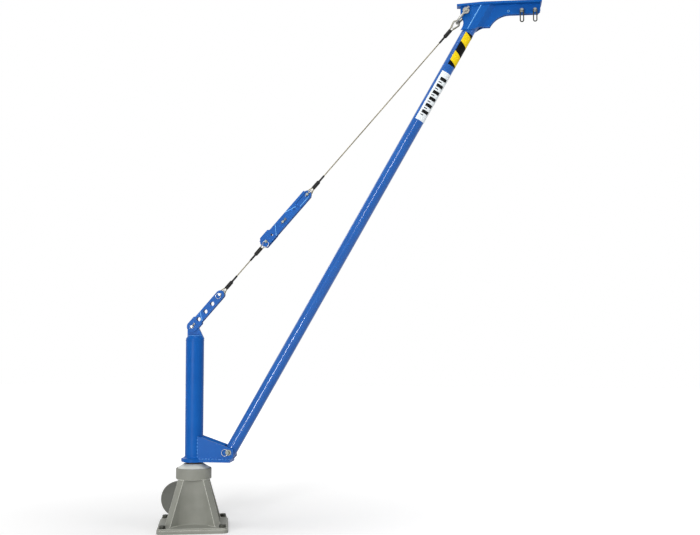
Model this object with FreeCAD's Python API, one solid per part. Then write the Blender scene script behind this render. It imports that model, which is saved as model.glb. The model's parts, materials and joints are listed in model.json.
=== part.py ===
# A davit crane: a cast pedestal, a mast that slews in it, a raking jib and an adjustable rope tie.
# Millimetres. +Z is up, the jib lies over +X, and the origin is under the middle of the pedestal.
import FreeCAD, Part
import math
import os

V = FreeCAD.Vector
ORIGIN = V(0, 0, 0)
X_AXIS = V(1, 0, 0)
Y_AXIS = V(0, 1, 0)
Z_AXIS = V(0, 0, 1)

# Pedestal casting
PEDESTAL_TURN = 14.0        # degrees from the jib's plane to the side of the base
BASE_SIDE = 338.0
BASE_CORNER = 28.0
BASE_THICK = 17.0
STEP_INSET = 7.0
STEP_THICK = 9.0
BOLT_PITCH = 285.0
BOLT_HOLE = 22.0
RIB_FACE = 38.0             # width of a rib's outer face
RIB_FOOT = 169.0            # distance of that face from the axis, at the base
RIB_HEAD = 86.0             # and under the collar
WEB_FOOT = 66.0             # nearest distance of the hollow side from the axis, at the base
WEB_HEAD = 60.0             # and under the collar
COLLAR_RADIUS = 86.5
COLLAR_LOW = 240.0
COLLAR_HEIGHT = 52.5
COLLAR_ROUND = 6.0
BOSS_HEIGHT = 20.0          # cone on the collar, up to the bush's flange
BOSS_FOOT = 78.0            # its radius on the collar
BOSS_HEAD = 47.0            # and at the top
SOCKET_FLOOR = 44.0

# Plain bearings between pedestal and mast
SPIGOT_RADIUS = 30.0
RUNNING_GAP = 0.05          # radial clearance of every pin or shaft that turns
BUSH_WALL = 6.0
UPPER_BUSH_LENGTH = 60.0
LOWER_BUSH_LENGTH = 50.0
LOWER_BUSH_RISE = 16.0      # from the socket's floor
BUSH_FLANGE_RADIUS = 41.0
BUSH_FLANGE = 3.0
WASHER_THICK = 3.0
THRUST_GAP = 0.1
SPIGOT_END_GAP = 6.0
NECK_RADIUS = 43.0
NECK_HEIGHT = 4.4

# Weather cap of the socket, taken off and stood behind the pedestal
CAP_GAP = 0.3
CAP_RADIUS = 89.0
CAP_WALL = 2.2
CAP_FACE = 6.0
CAP_DEPTH = 26.0
CAP_X = -113.0
CAP_FRONT_Y = 116.0

# Mast and the bracket at its foot
MAST_RADIUS = 44.45
MAST_WALL = 5.0
MAST_LENGTH = 577.0
MAST_CAP = 8.0
FOOT_PLATE = 14.0
FOOT_PLATE_RADIUS = 62.0
FOOT_PLATE_HALF = 48.0
FOOT_PLATE_REACH = 192.0
GUSSET_THICK = 10.0
GUSSET_GAP = 1.35           # from the jib's tube to a gusset
GUSSET_REACH = 206.0
GUSSET_NOSE = 50.0          # height at the reach
GUSSET_ROOT = 121.0         # height on the mast's axis
GUSSET_START = 28.0         # the plate's edge on the mast
GUSSET_CHAMFER = 10.0

# Jib
PIVOT_REACH = 183.0
PIVOT_RISE = 34.0           # above the foot plate
PIVOT_PIN_RADIUS = 10.0
PIVOT_SLEEVE_RADIUS = 16.0
PIVOT_SLEEVE_GAP = 0.3
JIB_LEAN = 29.8             # degrees from upright
JIB_RADIUS = 30.15
JIB_WALL = 4.0
JIB_LENGTH = 2500.0         # along the axis, from the pivot to the head's top plate
JIB_END_RADIUS = 31.5       # rounded foot, about the pivot

# Jib head: two cheeks either side of the tube, under a top plate. They are folded together behind the tube
# and set in towards each other in front of it.
# Places are measured from the point where the tube's axis meets the top plate.
CHEEK_THICK = 6.0
CHEEK_GAP = 0.1
CHEEK_FOLD = 17.5           # degrees
CHEEK_REAR = 108.0
CHEEK_DROP = 119.4
FRONT_DROP = 105.0          # lower edge in front of the tube
FILLET_START = -40.0        # the hollow step between the two lower edges
FILLET_END = -2.0
FILLET_BULGE = 2.5
NOSE_BEND = 27.0            # in front of the tube's axis
NOSE_FOLD = 43.0            # degrees
NOSE_INNER = 7.0            # half the gap between the cheeks at the nose
REAR_EDGE_DROP = 39.0
REAR_NOTCH = 14.0           # depth of the hollow in the rear edge
THROAT_START = 34.0
THROAT_END = 126.0
THROAT_BULGE = 14.5         # how far the throat's arc stands in from its chord
NOSE_DROP = 47.0
NOSE_REACH = 276.0
NOSE_CHAMFER = 11.0
SIGHT_HOLE_BACK = 153.0     # from the nose
SIGHT_HOLE_RADIUS = 4.0
TOP_PLATE = 10.5
TOP_PLATE_HALF = 45.0
TOP_PLATE_REAR_LIP = 17.0   # beyond the cheeks' rear edge
TOP_PLATE_REAR_HALF = 22.0
TOP_PLATE_NOSE_LIP = 6.0    # beyond the nose
HOIST_PIN_RADIUS = 8.0
HOIST_PIN_BACK = 26.0       # front pin, from the nose
HOIST_PIN_PITCH = 63.0
HOIST_PIN_DROP = 31.0
HOIST_COLLAR_RADIUS = 10.0
HOIST_COLLAR = 8.0
HOIST_PIN_TIP = 7.0
PULL_RING_WIDTH = 18.0
PULL_RING_HEIGHT = 60.0
PULL_RING_CORNER = 4.0
BAIL_PIN_X = -81.0
BAIL_PIN_DROP = 26.4
BAIL_PIN_RADIUS = 7.0
BAIL_ROD = 6.0              # radius
BAIL_EYE_RADIUS = 16.0
BAIL_EYE_THICK = 12.0
BAIL_INSIDE = 50.0
BAIL_LENGTH = 68.0          # from the pin to the middle of the bow
SPACER_RADIUS = 12.0

# Lug and link on the mast's top
LINK_OFFSET = -11.5
LINK_RISE = 60.0            # pivot above the mast's cap
LUG_THICK = 16.0
LUG_RADIUS = 25.0
LUG_FOOT_FRONT = 46.0
LINK_PIN_RADIUS = 8.0
LINK_THICK = 6.0
LINK_GAP = 0.5
LINK_HALF = 21.0
LINK_HEAD_RADIUS = 27.0
LINK_HEAD_REACH = 42.0      # the head keeps its width this far, then tapers to the strip
LINK_LENGTH = 211.0         # pin to pin
STRIP_FIRST = 49.0
STRIP_PITCH = 51.0
STRIP_HOLES = 3
STRIP_HOLE_RADIUS = 11.0

# Rope ends: a ferrule under a sleeve, an eye round a thimble, a bush on the pin
TIE_PIN_RADIUS = 7.0
ROPE_RADIUS = 3.0
EYE_RADIUS = 16.5           # middle of the rope
EYE_LENGTH = 40.0           # from the pin to the ferrule
EYE_LEG_OFFSET = 3.2
THIMBLE_WALL = 2.0
THIMBLE_HALF = 5.0
THIMBLE_TIP_GAP = 1.0       # from the thimble's tip to the ferrule
BUSH_GAP = 0.3
FERRULE_RADIUS = 9.5
FERRULE_LENGTH = 45.0
SLEEVE_TAPER = 4.0
SLEEVE_RADIUS = 4.8
SLEEVE_LENGTH = 35.0

# Length adjuster in the tie: an inner channel that slides in an outer one, up to the setting pin
LOWER_ROPE_LENGTH = 348.0   # pin to pin
ADJUSTER_LENGTH = 307.0     # pin to pin, drawn out
CHANNEL_WALL = 5.0
CHANNEL_LOWER_EDGE = 21.0   # from the line of the pins to the open side
CHANNEL_UPPER_EDGE = 25.5   # and to the outside of the web
CHANNEL_TAIL = 22.0
CHANNEL_LIP = 3.0           # the channel's mouth lies this far beyond the upper pin
FORK_BACK = 67.0            # the slot at the mouth runs back this far from the upper pin
FORK_HALF = 13.0
CHANNEL_HOLE_FIRST = 44.0
CHANNEL_HOLE_PITCH = 84.0
CHANNEL_HOLES = 3
SETTING_HOLE = 2            # the hole in use, counted from the lower pin
DOUBLER_THICK = 4.0
DOUBLER_LOWER_EDGE = 22.0
DOUBLER_UPPER_EDGE = 33.0
DOUBLER_TAIL = 28.0
DOUBLER_REACH = 56.0
DOUBLER_CHAMFER = 10.0
SETTING_PIN_RADIUS = 6.0
SLIDE_GAP = 0.5
SLOT_GAP = 0.2
SLOT_TRAVEL = 65.0
SLIDE_WALL = 5.0
SLIDE_INNER_HALF = 5.3
SLIDE_LOWER_EDGE = 20.0
SLIDE_TAIL = 42.0           # below the setting pin
SLIDE_WEB_BACK = 24.0       # the web stops this far short of the upper pin

# Pin ends and their rings
HEAD_THICK = 6.0
HEAD_MARGIN = 4.5           # a pin's head stands this far out from its shank
TAIL_RADIUS = 6.0
TAIL_LENGTH = 13.0
TAIL_HOLE_BACK = 7.0        # from the shank's end to the cross hole
RING_WIRE = 1.8             # radius
RING_CLEAR = 0.3
PIVOT_RING_RADIUS = 16.0
LINK_RING_RADIUS = 12.5
ADJUSTER_RING_RADIUS = 15.0
COTTER_RADIUS = 1.6
COTTER_LEG = 13.0
COTTER_EYE = 4.2

# Places that follow from the sizes above
BASE_TOP = BASE_THICK + STEP_THICK
COLLAR_TOP = COLLAR_LOW + COLLAR_HEIGHT
BOSS_TOP = COLLAR_TOP + BOSS_HEIGHT
SOCKET_RADIUS = SPIGOT_RADIUS + RUNNING_GAP + BUSH_WALL
WASHER_LOW = BOSS_TOP + BUSH_FLANGE
NECK_LOW = WASHER_LOW + WASHER_THICK + THRUST_GAP
FOOT_LOW = NECK_LOW + NECK_HEIGHT
FOOT_TOP = FOOT_LOW + FOOT_PLATE
TUBE_TOP = FOOT_TOP + MAST_LENGTH
MAST_TOP = TUBE_TOP + MAST_CAP
GUSSET_INNER = JIB_RADIUS + GUSSET_GAP
GUSSET_OUTER = GUSSET_INNER + GUSSET_THICK
PIVOT = V(PIVOT_REACH, 0, FOOT_TOP + PIVOT_RISE)
JIB_SIN = math.sin(math.radians(JIB_LEAN))
JIB_COS = math.cos(math.radians(JIB_LEAN))
HEAD = PIVOT + V(JIB_SIN, 0, JIB_COS) * JIB_LENGTH
CHEEK_INNER = JIB_RADIUS + CHEEK_GAP
CHEEK_OUTER = CHEEK_INNER + CHEEK_THICK
NOSE_OUTER = NOSE_INNER + CHEEK_THICK
BAIL_PIN = HEAD + V(BAIL_PIN_X, 0, -BAIL_PIN_DROP)
LINK_PIN = V(LINK_OFFSET, 0, MAST_TOP + LINK_RISE)
LINK_INNER = LUG_THICK / 2 + LINK_GAP
LINK_OUTER = LINK_INNER + LINK_THICK
TIE = BAIL_PIN - LINK_PIN
TIE_LEAN = math.degrees(math.atan2(TIE.x, TIE.z))
THIMBLE_BORE = EYE_RADIUS - ROPE_RADIUS - THIMBLE_WALL
BUSH_RADIUS = THIMBLE_BORE - BUSH_GAP
SLIDE_OUTER = SLIDE_INNER_HALF + SLIDE_WALL
SLIDE_UPPER_EDGE = CHANNEL_UPPER_EDGE - CHANNEL_WALL - SLIDE_GAP
CHANNEL_INNER = SLIDE_OUTER + SLIDE_GAP
CHANNEL_OUTER = CHANNEL_INNER + CHANNEL_WALL
DOUBLER_OUTER = CHANNEL_OUTER + DOUBLER_THICK
LOWER_PIN_S = LINK_LENGTH + LOWER_ROPE_LENGTH
UPPER_PIN_S = LOWER_PIN_S + ADJUSTER_LENGTH
SETTING_PIN_S = LOWER_PIN_S + CHANNEL_HOLE_FIRST + CHANNEL_HOLE_PITCH * (SETTING_HOLE - 1)
BAIL_HALF = (BAIL_INSIDE + BAIL_EYE_THICK) / 2
BOW_SAG = BAIL_HALF - math.sqrt(BAIL_HALF ** 2 - THIMBLE_HALF ** 2)
BOW_EYE_S = TIE.Length - BAIL_LENGTH - (THIMBLE_BORE - BAIL_ROD - BUSH_GAP - BOW_SAG)


# Shared shapes
def rod(x, z, radius, low, high):
    """A round bar along Y between two values of y."""
    return Part.makeCylinder(radius, high - low, V(x, low, z), Y_AXIS)


def tube(x, z, radius, bore, low, high):
    """A round tube along Y."""
    return rod(x, z, radius, low, high).cut(rod(x, z, bore, low, high))


def disc(radius, low, high):
    """A round plate about Z."""
    return Part.makeCylinder(radius, high - low, V(0, 0, low))


def slab(edges, low, high):
    """A flat plate whose outline is drawn in XZ, between two values of y."""
    face = Part.Face(Part.Wire([edge.toShape() for edge in edges]))
    face.translate(V(0, low, 0))
    return face.extrude(V(0, high - low, 0))


def polygon(points):
    """Straight edges round a list of points."""
    return [Part.LineSegment(a, b) for a, b in zip(points, points[1:] + points[:1])]


def block(x0, x1, y0, y1, z0, z1):
    """A plain box between six faces."""
    return Part.makeBox(x1 - x0, y1 - y0, z1 - z0, V(x0, y0, z0))


def leaned(shape, origin, lean):
    """Carry a shape drawn along +X to an origin, leaning from upright towards +X."""
    copy = shape.copy()
    copy.rotate(ORIGIN, Y_AXIS, lean - 90)
    copy.translate(origin)
    return copy


def on_tie(shape):
    """Carry a shape drawn along +X from the link's pivot onto the tie."""
    return leaned(shape, LINK_PIN, TIE_LEAN)


def on_jib(shape):
    """Carry a shape drawn along +X from the jib's pivot onto the jib."""
    return leaned(shape, PIVOT, JIB_LEAN)


def tangent_points(point, centre, radius):
    """The two points where lines from a point touch a circle in XZ, right-hand side first."""
    away = point - centre
    heading = math.atan2(away.z, away.x)
    half = math.acos(radius / away.Length)
    angles = (heading - half, heading + half)
    return [centre + V(math.cos(a), 0, math.sin(a)) * radius for a in angles]


def headed_pin(x, z, radius, near, far):
    """A pin with a head on the far side and a slimmer tail, drilled later, on the near side."""
    pin = rod(x, z, radius, near, far)
    pin = pin.fuse(rod(x, z, radius + HEAD_MARGIN, far, far + HEAD_THICK))
    tail = rod(x, z, min(TAIL_RADIUS, radius), near - TAIL_LENGTH, near)
    return pin.fuse(tail).removeSplitter()


def split_ring(pin, x, z, near, pin_radius, ring_radius, heading):
    """A ring through a cross hole in a pin's tail; heading is the ring's side in XZ, in degrees."""
    tail = min(TAIL_RADIUS, pin_radius)
    sag = ring_radius - math.sqrt(ring_radius ** 2 - tail ** 2)
    hole_radius = RING_WIRE + sag / 2 + RING_CLEAR
    y = near - TAIL_HOLE_BACK
    side = V(math.cos(math.radians(heading)), 0, math.sin(math.radians(heading)))
    across = V(-side.z, 0, side.x)
    hole_start = V(x, y, z) - across * 2 * tail
    hole = Part.makeCylinder(hole_radius, 4 * tail, hole_start, across)
    centre = V(x, y, z) + side * (ring_radius - sag / 2)
    return pin.cut(hole), Part.makeTorus(ring_radius, RING_WIRE, centre, Y_AXIS)


def cotter(pin, x, z, near, pin_radius):
    """A cotter along X through a pin's tail: a straight leg and an eye that stops it."""
    tail = min(TAIL_RADIUS, pin_radius)
    y = near - TAIL_HOLE_BACK
    hole = Part.makeCylinder(COTTER_RADIUS + RING_CLEAR, 4 * tail, V(x - 2 * tail, y, z), X_AXIS)
    start = V(x - COTTER_LEG, y, z)
    leg = Part.makeCylinder(COTTER_RADIUS, 2 * COTTER_LEG, start, X_AXIS)
    eye = Part.makeTorus(COTTER_EYE, COTTER_RADIUS, start + V(2 * COTTER_LEG + COTTER_EYE, 0, 0), Y_AXIS)
    return pin.cut(hole), leg.fuse(eye)


# Pedestal
def rounded_square(side, corner, low, thick):
    """A square plate with its upright edges rounded."""
    half = side / 2
    plate = block(-half, half, -half, half, low, low + thick)
    upright = [e for e in plate.Edges if e.BoundBox.ZLength > thick / 2]
    return plate.makeFillet(corner, upright)


def lobed_section(z, corner, web):
    """A four-cornered section: flat rib faces on the diagonals, hollow arcs between them."""
    edges = []
    for quarter in range(4):
        angle = math.radians(45 + 90 * quarter)
        out = V(math.cos(angle), math.sin(angle), 0)
        along = V(-out.y, out.x, 0)
        start = out * corner - along * RIB_FACE / 2 + V(0, 0, z)
        end = out * corner + along * RIB_FACE / 2 + V(0, 0, z)
        turned = along * corner + out * RIB_FACE / 2 + V(0, 0, z)
        middle = V(out.x - out.y, out.y + out.x, 0).normalize() * web + V(0, 0, z)
        edges.append(Part.LineSegment(start, end).toShape())
        edges.append(Part.Arc(end, middle, turned).toShape())
    return Part.Wire(edges)


def pedestal():
    """Stepped base, ribbed column, collar and boss, bored for the bushes."""
    body = rounded_square(BASE_SIDE, BASE_CORNER, 0, BASE_THICK)
    step_side = BASE_SIDE - 2 * STEP_INSET
    body = body.fuse(rounded_square(step_side, BASE_CORNER - STEP_INSET, BASE_THICK, STEP_THICK))
    foot = lobed_section(BASE_TOP, RIB_FOOT, WEB_FOOT)
    head = lobed_section(COLLAR_LOW, RIB_HEAD, WEB_HEAD)
    body = body.fuse(Part.makeLoft([foot, head], True, True))
    collar = disc(COLLAR_RADIUS, COLLAR_LOW, COLLAR_TOP)
    rims = [e for e in collar.Edges if e.BoundBox.ZMin > COLLAR_TOP - COLLAR_ROUND]
    body = body.fuse(collar.makeFillet(COLLAR_ROUND, rims))
    body = body.fuse(Part.makeCone(BOSS_FOOT, BOSS_HEAD, BOSS_HEIGHT, V(0, 0, COLLAR_TOP)))
    body = body.cut(disc(SOCKET_RADIUS, SOCKET_FLOOR, BOSS_TOP))
    for sx in (-1, 1):
        for sy in (-1, 1):
            place = V(sx * BOLT_PITCH / 2, sy * BOLT_PITCH / 2, 0)
            body = body.cut(Part.makeCylinder(BOLT_HOLE / 2, BASE_TOP, place))
    body = body.removeSplitter()
    body.rotate(ORIGIN, Z_AXIS, PEDESTAL_TURN)
    return body


def bearings():
    """Flanged upper bush, plain lower bush and the washer that the mast stands on."""
    bore = SPIGOT_RADIUS + RUNNING_GAP
    upper = disc(SOCKET_RADIUS, BOSS_TOP - UPPER_BUSH_LENGTH, BOSS_TOP)
    upper = upper.fuse(disc(BUSH_FLANGE_RADIUS, BOSS_TOP, WASHER_LOW))
    upper = upper.cut(disc(bore, BOSS_TOP - UPPER_BUSH_LENGTH, WASHER_LOW)).removeSplitter()
    low = SOCKET_FLOOR + LOWER_BUSH_RISE
    lower = disc(SOCKET_RADIUS, low, low + LOWER_BUSH_LENGTH).cut(disc(bore, low, low + LOWER_BUSH_LENGTH))
    washer = disc(BUSH_FLANGE_RADIUS, WASHER_LOW, WASHER_LOW + WASHER_THICK)
    washer = washer.cut(disc(bore, WASHER_LOW, WASHER_LOW + WASHER_THICK))
    return upper, lower, washer


def socket_cap():
    """A shallow cup standing on its edge, with its closed face towards the pedestal."""
    z = BASE_TOP + CAP_RADIUS + CAP_GAP
    back = CAP_FRONT_Y + CAP_DEPTH
    cup = rod(CAP_X, z, CAP_RADIUS, CAP_FRONT_Y, back)
    return cup.cut(rod(CAP_X, z, CAP_RADIUS - CAP_WALL, CAP_FRONT_Y + CAP_FACE, back))


# Mast
def mast_spigot():
    """Turned spigot with the neck that stands on the washer."""
    spigot = disc(SPIGOT_RADIUS, SOCKET_FLOOR + SPIGOT_END_GAP, NECK_LOW)
    return spigot.fuse(disc(NECK_RADIUS, NECK_LOW, FOOT_LOW)).removeSplitter()


def foot_plate():
    """Keyhole-shaped plate under the mast and the jib's bracket."""
    tongue = block(0, FOOT_PLATE_REACH, -FOOT_PLATE_HALF, FOOT_PLATE_HALF, FOOT_LOW, FOOT_TOP)
    return disc(FOOT_PLATE_RADIUS, FOOT_LOW, FOOT_TOP).fuse(tongue).removeSplitter()


def gusset(side):
    """Upright plate on one side of the jib's foot, fitted to the mast and bored for the pivot."""
    top = FOOT_TOP + GUSSET_NOSE
    root = FOOT_TOP + GUSSET_ROOT - (GUSSET_ROOT - GUSSET_NOSE) * GUSSET_START / GUSSET_REACH
    outline = polygon([
        V(GUSSET_START, 0, FOOT_TOP),
        V(GUSSET_REACH - GUSSET_CHAMFER, 0, FOOT_TOP),
        V(GUSSET_REACH, 0, FOOT_TOP + GUSSET_CHAMFER),
        V(GUSSET_REACH, 0, top),
        V(GUSSET_START, 0, root),
    ])
    low, high = sorted((side * GUSSET_INNER, side * GUSSET_OUTER))
    plate = slab(outline, low, high)
    plate = plate.cut(disc(MAST_RADIUS, FOOT_TOP, TUBE_TOP))
    return plate.cut(rod(PIVOT.x, PIVOT.z, PIVOT_PIN_RADIUS, low, high))


def mast_lug():
    """Single plate on the mast's cap that carries the link's pivot."""
    foot = V(LUG_FOOT_FRONT, 0, MAST_TOP)
    touch = tangent_points(foot, LINK_PIN, LUG_RADIUS)[1]
    rear = LINK_PIN - V(LUG_RADIUS, 0, 0)
    crown = LINK_PIN + V(0, 0, LUG_RADIUS)
    outline = [
        Part.LineSegment(V(rear.x, 0, MAST_TOP), foot),
        Part.LineSegment(foot, touch),
        Part.Arc(touch, crown, rear),
        Part.LineSegment(rear, V(rear.x, 0, MAST_TOP)),
    ]
    lug = slab(outline, -LUG_THICK / 2, LUG_THICK / 2)
    bore = LINK_PIN_RADIUS + RUNNING_GAP
    return lug.cut(rod(LINK_PIN.x, LINK_PIN.z, bore, -LUG_THICK, LUG_THICK))


def pivot_pin():
    """The jib's pivot pin, its washer and the ring that keeps it in."""
    near = -GUSSET_OUTER - WASHER_THICK
    pin = headed_pin(PIVOT.x, PIVOT.z, PIVOT_PIN_RADIUS, near, GUSSET_OUTER)
    radius = PIVOT_PIN_RADIUS + HEAD_MARGIN
    washer = tube(PIVOT.x, PIVOT.z, radius, PIVOT_PIN_RADIUS, near, -GUSSET_OUTER)
    pin, ring = split_ring(pin, PIVOT.x, PIVOT.z, near, PIVOT_PIN_RADIUS, PIVOT_RING_RADIUS, 180)
    return pin, washer, ring


# Jib
def jib_sleeve():
    """Cross tube through the jib's foot that turns on the pivot pin."""
    half = GUSSET_INNER - PIVOT_SLEEVE_GAP
    bore = PIVOT_PIN_RADIUS + RUNNING_GAP
    return tube(PIVOT.x, PIVOT.z, PIVOT_SLEEVE_RADIUS, bore, -half, half)


def jib_tube():
    """Round tube, rounded about its pivot at the foot and cut level under the top plate."""
    run = JIB_LENGTH + 2 * JIB_RADIUS
    body = Part.makeCylinder(JIB_RADIUS, run + JIB_RADIUS, V(-JIB_RADIUS, 0, 0), X_AXIS)
    inside = Part.makeCylinder(JIB_RADIUS - JIB_WALL, run + JIB_RADIUS, V(-JIB_RADIUS, 0, 0), X_AXIS)
    keep = block(0, run, -JIB_RADIUS, JIB_RADIUS, -JIB_RADIUS, JIB_RADIUS)
    keep = keep.fuse(rod(0, 0, JIB_END_RADIUS, -JIB_RADIUS, JIB_RADIUS))
    body = on_jib(body.cut(inside).common(keep))
    over = 4 * JIB_RADIUS
    above = block(HEAD.x - over, HEAD.x + over, -JIB_RADIUS, JIB_RADIUS, HEAD.z, HEAD.z + over)
    body = body.cut(above)
    return body.cut(rod(PIVOT.x, PIVOT.z, PIVOT_SLEEVE_RADIUS, -JIB_RADIUS, JIB_RADIUS))


def head_outline():
    """The cheeks' outline in XZ: notched behind, with a hollow throat under the nose."""
    def at(x, drop):
        return HEAD + V(x, 0, -drop)

    def hollow(start, end, bulge):
        chord = end - start
        return Part.Arc(start, (start + end) * 0.5 + V(-chord.z, 0, chord.x).normalize() * bulge, end)
    middle_drop = (REAR_EDGE_DROP + CHEEK_DROP) / 2
    fillet_a = at(FILLET_START, CHEEK_DROP)
    fillet_b = at(FILLET_END, FRONT_DROP)
    throat_a = at(THROAT_START, FRONT_DROP)
    throat_b = at(THROAT_END, NOSE_DROP)
    chamfer_a = at(NOSE_REACH - NOSE_CHAMFER, NOSE_DROP)
    chamfer_b = at(NOSE_REACH, NOSE_DROP - NOSE_CHAMFER)
    return [
        Part.LineSegment(at(-CHEEK_REAR, 0), at(-CHEEK_REAR, REAR_EDGE_DROP)),
        Part.Arc(at(-CHEEK_REAR, REAR_EDGE_DROP), at(REAR_NOTCH - CHEEK_REAR, middle_drop),
                 at(-CHEEK_REAR, CHEEK_DROP)),
        Part.LineSegment(at(-CHEEK_REAR, CHEEK_DROP), fillet_a),
        hollow(fillet_a, fillet_b, FILLET_BULGE),
        Part.LineSegment(fillet_b, throat_a),
        hollow(throat_a, throat_b, THROAT_BULGE),
        Part.LineSegment(throat_b, chamfer_a),
        Part.LineSegment(chamfer_a, chamfer_b),
        Part.LineSegment(chamfer_b, at(NOSE_REACH, 0)),
        Part.LineSegment(at(NOSE_REACH, 0), at(-CHEEK_REAR, 0)),
    ]


def cheek_band(side):
    """The folded sheet that a cheek is cut from, drawn with the jib's axis along +X."""
    fold = math.radians(CHEEK_FOLD)
    bend = CHEEK_INNER * math.tan(fold / 2)
    bend_outer = CHEEK_OUTER * math.tan(fold / 2)
    rear = CHEEK_REAR + CHEEK_DROP
    front = -NOSE_REACH - CHEEK_DROP
    inner_rear = CHEEK_INNER - (rear - bend) * math.tan(fold)
    outer_rear = CHEEK_OUTER - (rear - bend_outer) * math.tan(fold)
    set_in = math.radians(NOSE_FOLD)
    first = -NOSE_BEND
    second = first - (CHEEK_INNER - NOSE_INNER) / math.tan(set_in)
    ahead = CHEEK_THICK * math.tan(set_in / 2)
    start = JIB_LENGTH - NOSE_REACH - CHEEK_DROP
    points = [
        V(start, side * NOSE_INNER, front),
        V(start, side * NOSE_INNER, second),
        V(start, side * CHEEK_INNER, first),
        V(start, side * CHEEK_INNER, bend),
        V(start, side * inner_rear, rear),
        V(start, side * outer_rear, rear),
        V(start, side * CHEEK_OUTER, bend_outer),
        V(start, side * CHEEK_OUTER, first - ahead),
        V(start, side * NOSE_OUTER, second - ahead),
        V(start, side * NOSE_OUTER, front),
    ]
    face = Part.Face(Part.makePolygon(points + points[:1]))
    return face.extrude(V(2 * (NOSE_REACH + CHEEK_DROP), 0, 0))


def head_cheek(side):
    """One cheek, bored for the hoist pins and the bail's pin."""
    outline = slab(head_outline(), -CHEEK_OUTER, CHEEK_OUTER)
    own_side = block(HEAD.x - CHEEK_REAR, HEAD.x + NOSE_REACH, 0, CHEEK_OUTER, HEAD.z - CHEEK_DROP, HEAD.z)
    if side < 0:
        own_side.translate(V(0, -CHEEK_OUTER, 0))
    cheek = on_jib(cheek_band(side)).common(outline).common(own_side)
    holes = [(x, HOIST_PIN_DROP, HOIST_PIN_RADIUS + RUNNING_GAP) for x in hoist_pin_places()]
    holes.append((BAIL_PIN_X, BAIL_PIN_DROP, BAIL_PIN_RADIUS + RUNNING_GAP))
    holes.append((NOSE_REACH - SIGHT_HOLE_BACK, HOIST_PIN_DROP, SIGHT_HOLE_RADIUS))
    for x, drop, radius in holes:
        cheek = cheek.cut(rod(HEAD.x + x, HEAD.z - drop, radius, -CHEEK_OUTER, CHEEK_OUTER))
    return cheek


def hoist_pin_places():
    """Distances of the two hoist pins in front of the head's reference point."""
    front = NOSE_REACH - HOIST_PIN_BACK
    return [front - HOIST_PIN_PITCH, front]


def head_top_plate():
    """Level plate over tube and cheeks, drawn in behind as the cheeks are."""
    half = [
        (-CHEEK_REAR - TOP_PLATE_REAR_LIP, TOP_PLATE_REAR_HALF),
        (0, TOP_PLATE_HALF),
        (NOSE_REACH + TOP_PLATE_NOSE_LIP, TOP_PLATE_HALF),
    ]
    points = [HEAD + V(x, -y, 0) for x, y in half] + [HEAD + V(x, y, 0) for x, y in reversed(half)]
    return Part.Face(Part.makePolygon(points + points[:1])).extrude(V(0, 0, TOP_PLATE))


def hoist_pin(place):
    """Quick-release pin through both cheeks, with a collar and a pull ring on the near side."""
    x = HEAD.x + place
    z = HEAD.z - HOIST_PIN_DROP
    seat = -NOSE_OUTER - CHEEK_GAP
    outer = seat - HOIST_COLLAR
    pin = rod(x, z, HOIST_PIN_RADIUS, outer, NOSE_OUTER + HOIST_PIN_TIP)
    pin = pin.fuse(rod(x, z, HOIST_COLLAR_RADIUS, outer, seat))
    pin = pin.fuse(rod(x, z, TAIL_RADIUS, outer - TAIL_LENGTH, outer)).removeSplitter()
    y = outer - TAIL_HOLE_BACK
    hole_start = V(x - 2 * TAIL_RADIUS, y, z)
    pin = pin.cut(Part.makeCylinder(RING_WIRE + 2 * RING_CLEAR, 4 * TAIL_RADIUS, hole_start, X_AXIS))
    return pin, pull_ring(V(x, y, z))


def pull_ring(top):
    """A long ring of round wire that hangs from its straight top."""
    half = PULL_RING_WIDTH / 2
    corner = PULL_RING_CORNER
    drop = PULL_RING_HEIGHT - half
    slant = corner * (1 - math.sqrt(0.5))

    def at(x, z):
        return top + V(x, 0, -z)
    path = [
        Part.LineSegment(at(corner - half, 0), at(half - corner, 0)),
        Part.Arc(at(half - corner, 0), at(half - slant, slant), at(half, corner)),
        Part.LineSegment(at(half, corner), at(half, drop)),
        Part.Arc(at(half, drop), at(0, PULL_RING_HEIGHT), at(-half, drop)),
        Part.LineSegment(at(-half, drop), at(-half, corner)),
        Part.Arc(at(-half, corner), at(slant - half, slant), at(corner - half, 0)),
    ]
    wire = Part.Wire([edge.toShape() for edge in path])
    section = Part.Wire([Part.Circle(at(corner - half, 0), X_AXIS, RING_WIRE).toShape()])
    return wire.makePipeShell([section], True, True)


def bail():
    """U-shaped bail with an eye on each side of the head, and its pin."""
    bend = BAIL_LENGTH - BAIL_HALF
    path = [
        Part.LineSegment(V(0, -BAIL_HALF, 0), V(-bend, -BAIL_HALF, 0)),
        Part.Arc(V(-bend, -BAIL_HALF, 0), V(-BAIL_LENGTH, 0, 0), V(-bend, BAIL_HALF, 0)),
        Part.LineSegment(V(-bend, BAIL_HALF, 0), V(0, BAIL_HALF, 0)),
    ]
    wire = Part.Wire([edge.toShape() for edge in path])
    section = Part.Wire([Part.Circle(V(0, -BAIL_HALF, 0), X_AXIS, BAIL_ROD).toShape()])
    bow = wire.makePipeShell([section], True, True)
    inner = BAIL_INSIDE / 2
    for low in (-inner - BAIL_EYE_THICK, inner):
        bow = bow.fuse(rod(0, 0, BAIL_EYE_RADIUS, low, low + BAIL_EYE_THICK))
    reach = inner + BAIL_EYE_THICK
    bow = bow.cut(rod(0, 0, BAIL_PIN_RADIUS, -reach, reach)).removeSplitter()
    pin = headed_pin(0, 0, BAIL_PIN_RADIUS, -reach, reach)
    pin, key = cotter(pin, 0, 0, -reach, BAIL_PIN_RADIUS)
    return [leaned(shape, BAIL_PIN, TIE_LEAN) for shape in (bow, pin, key)]


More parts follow.
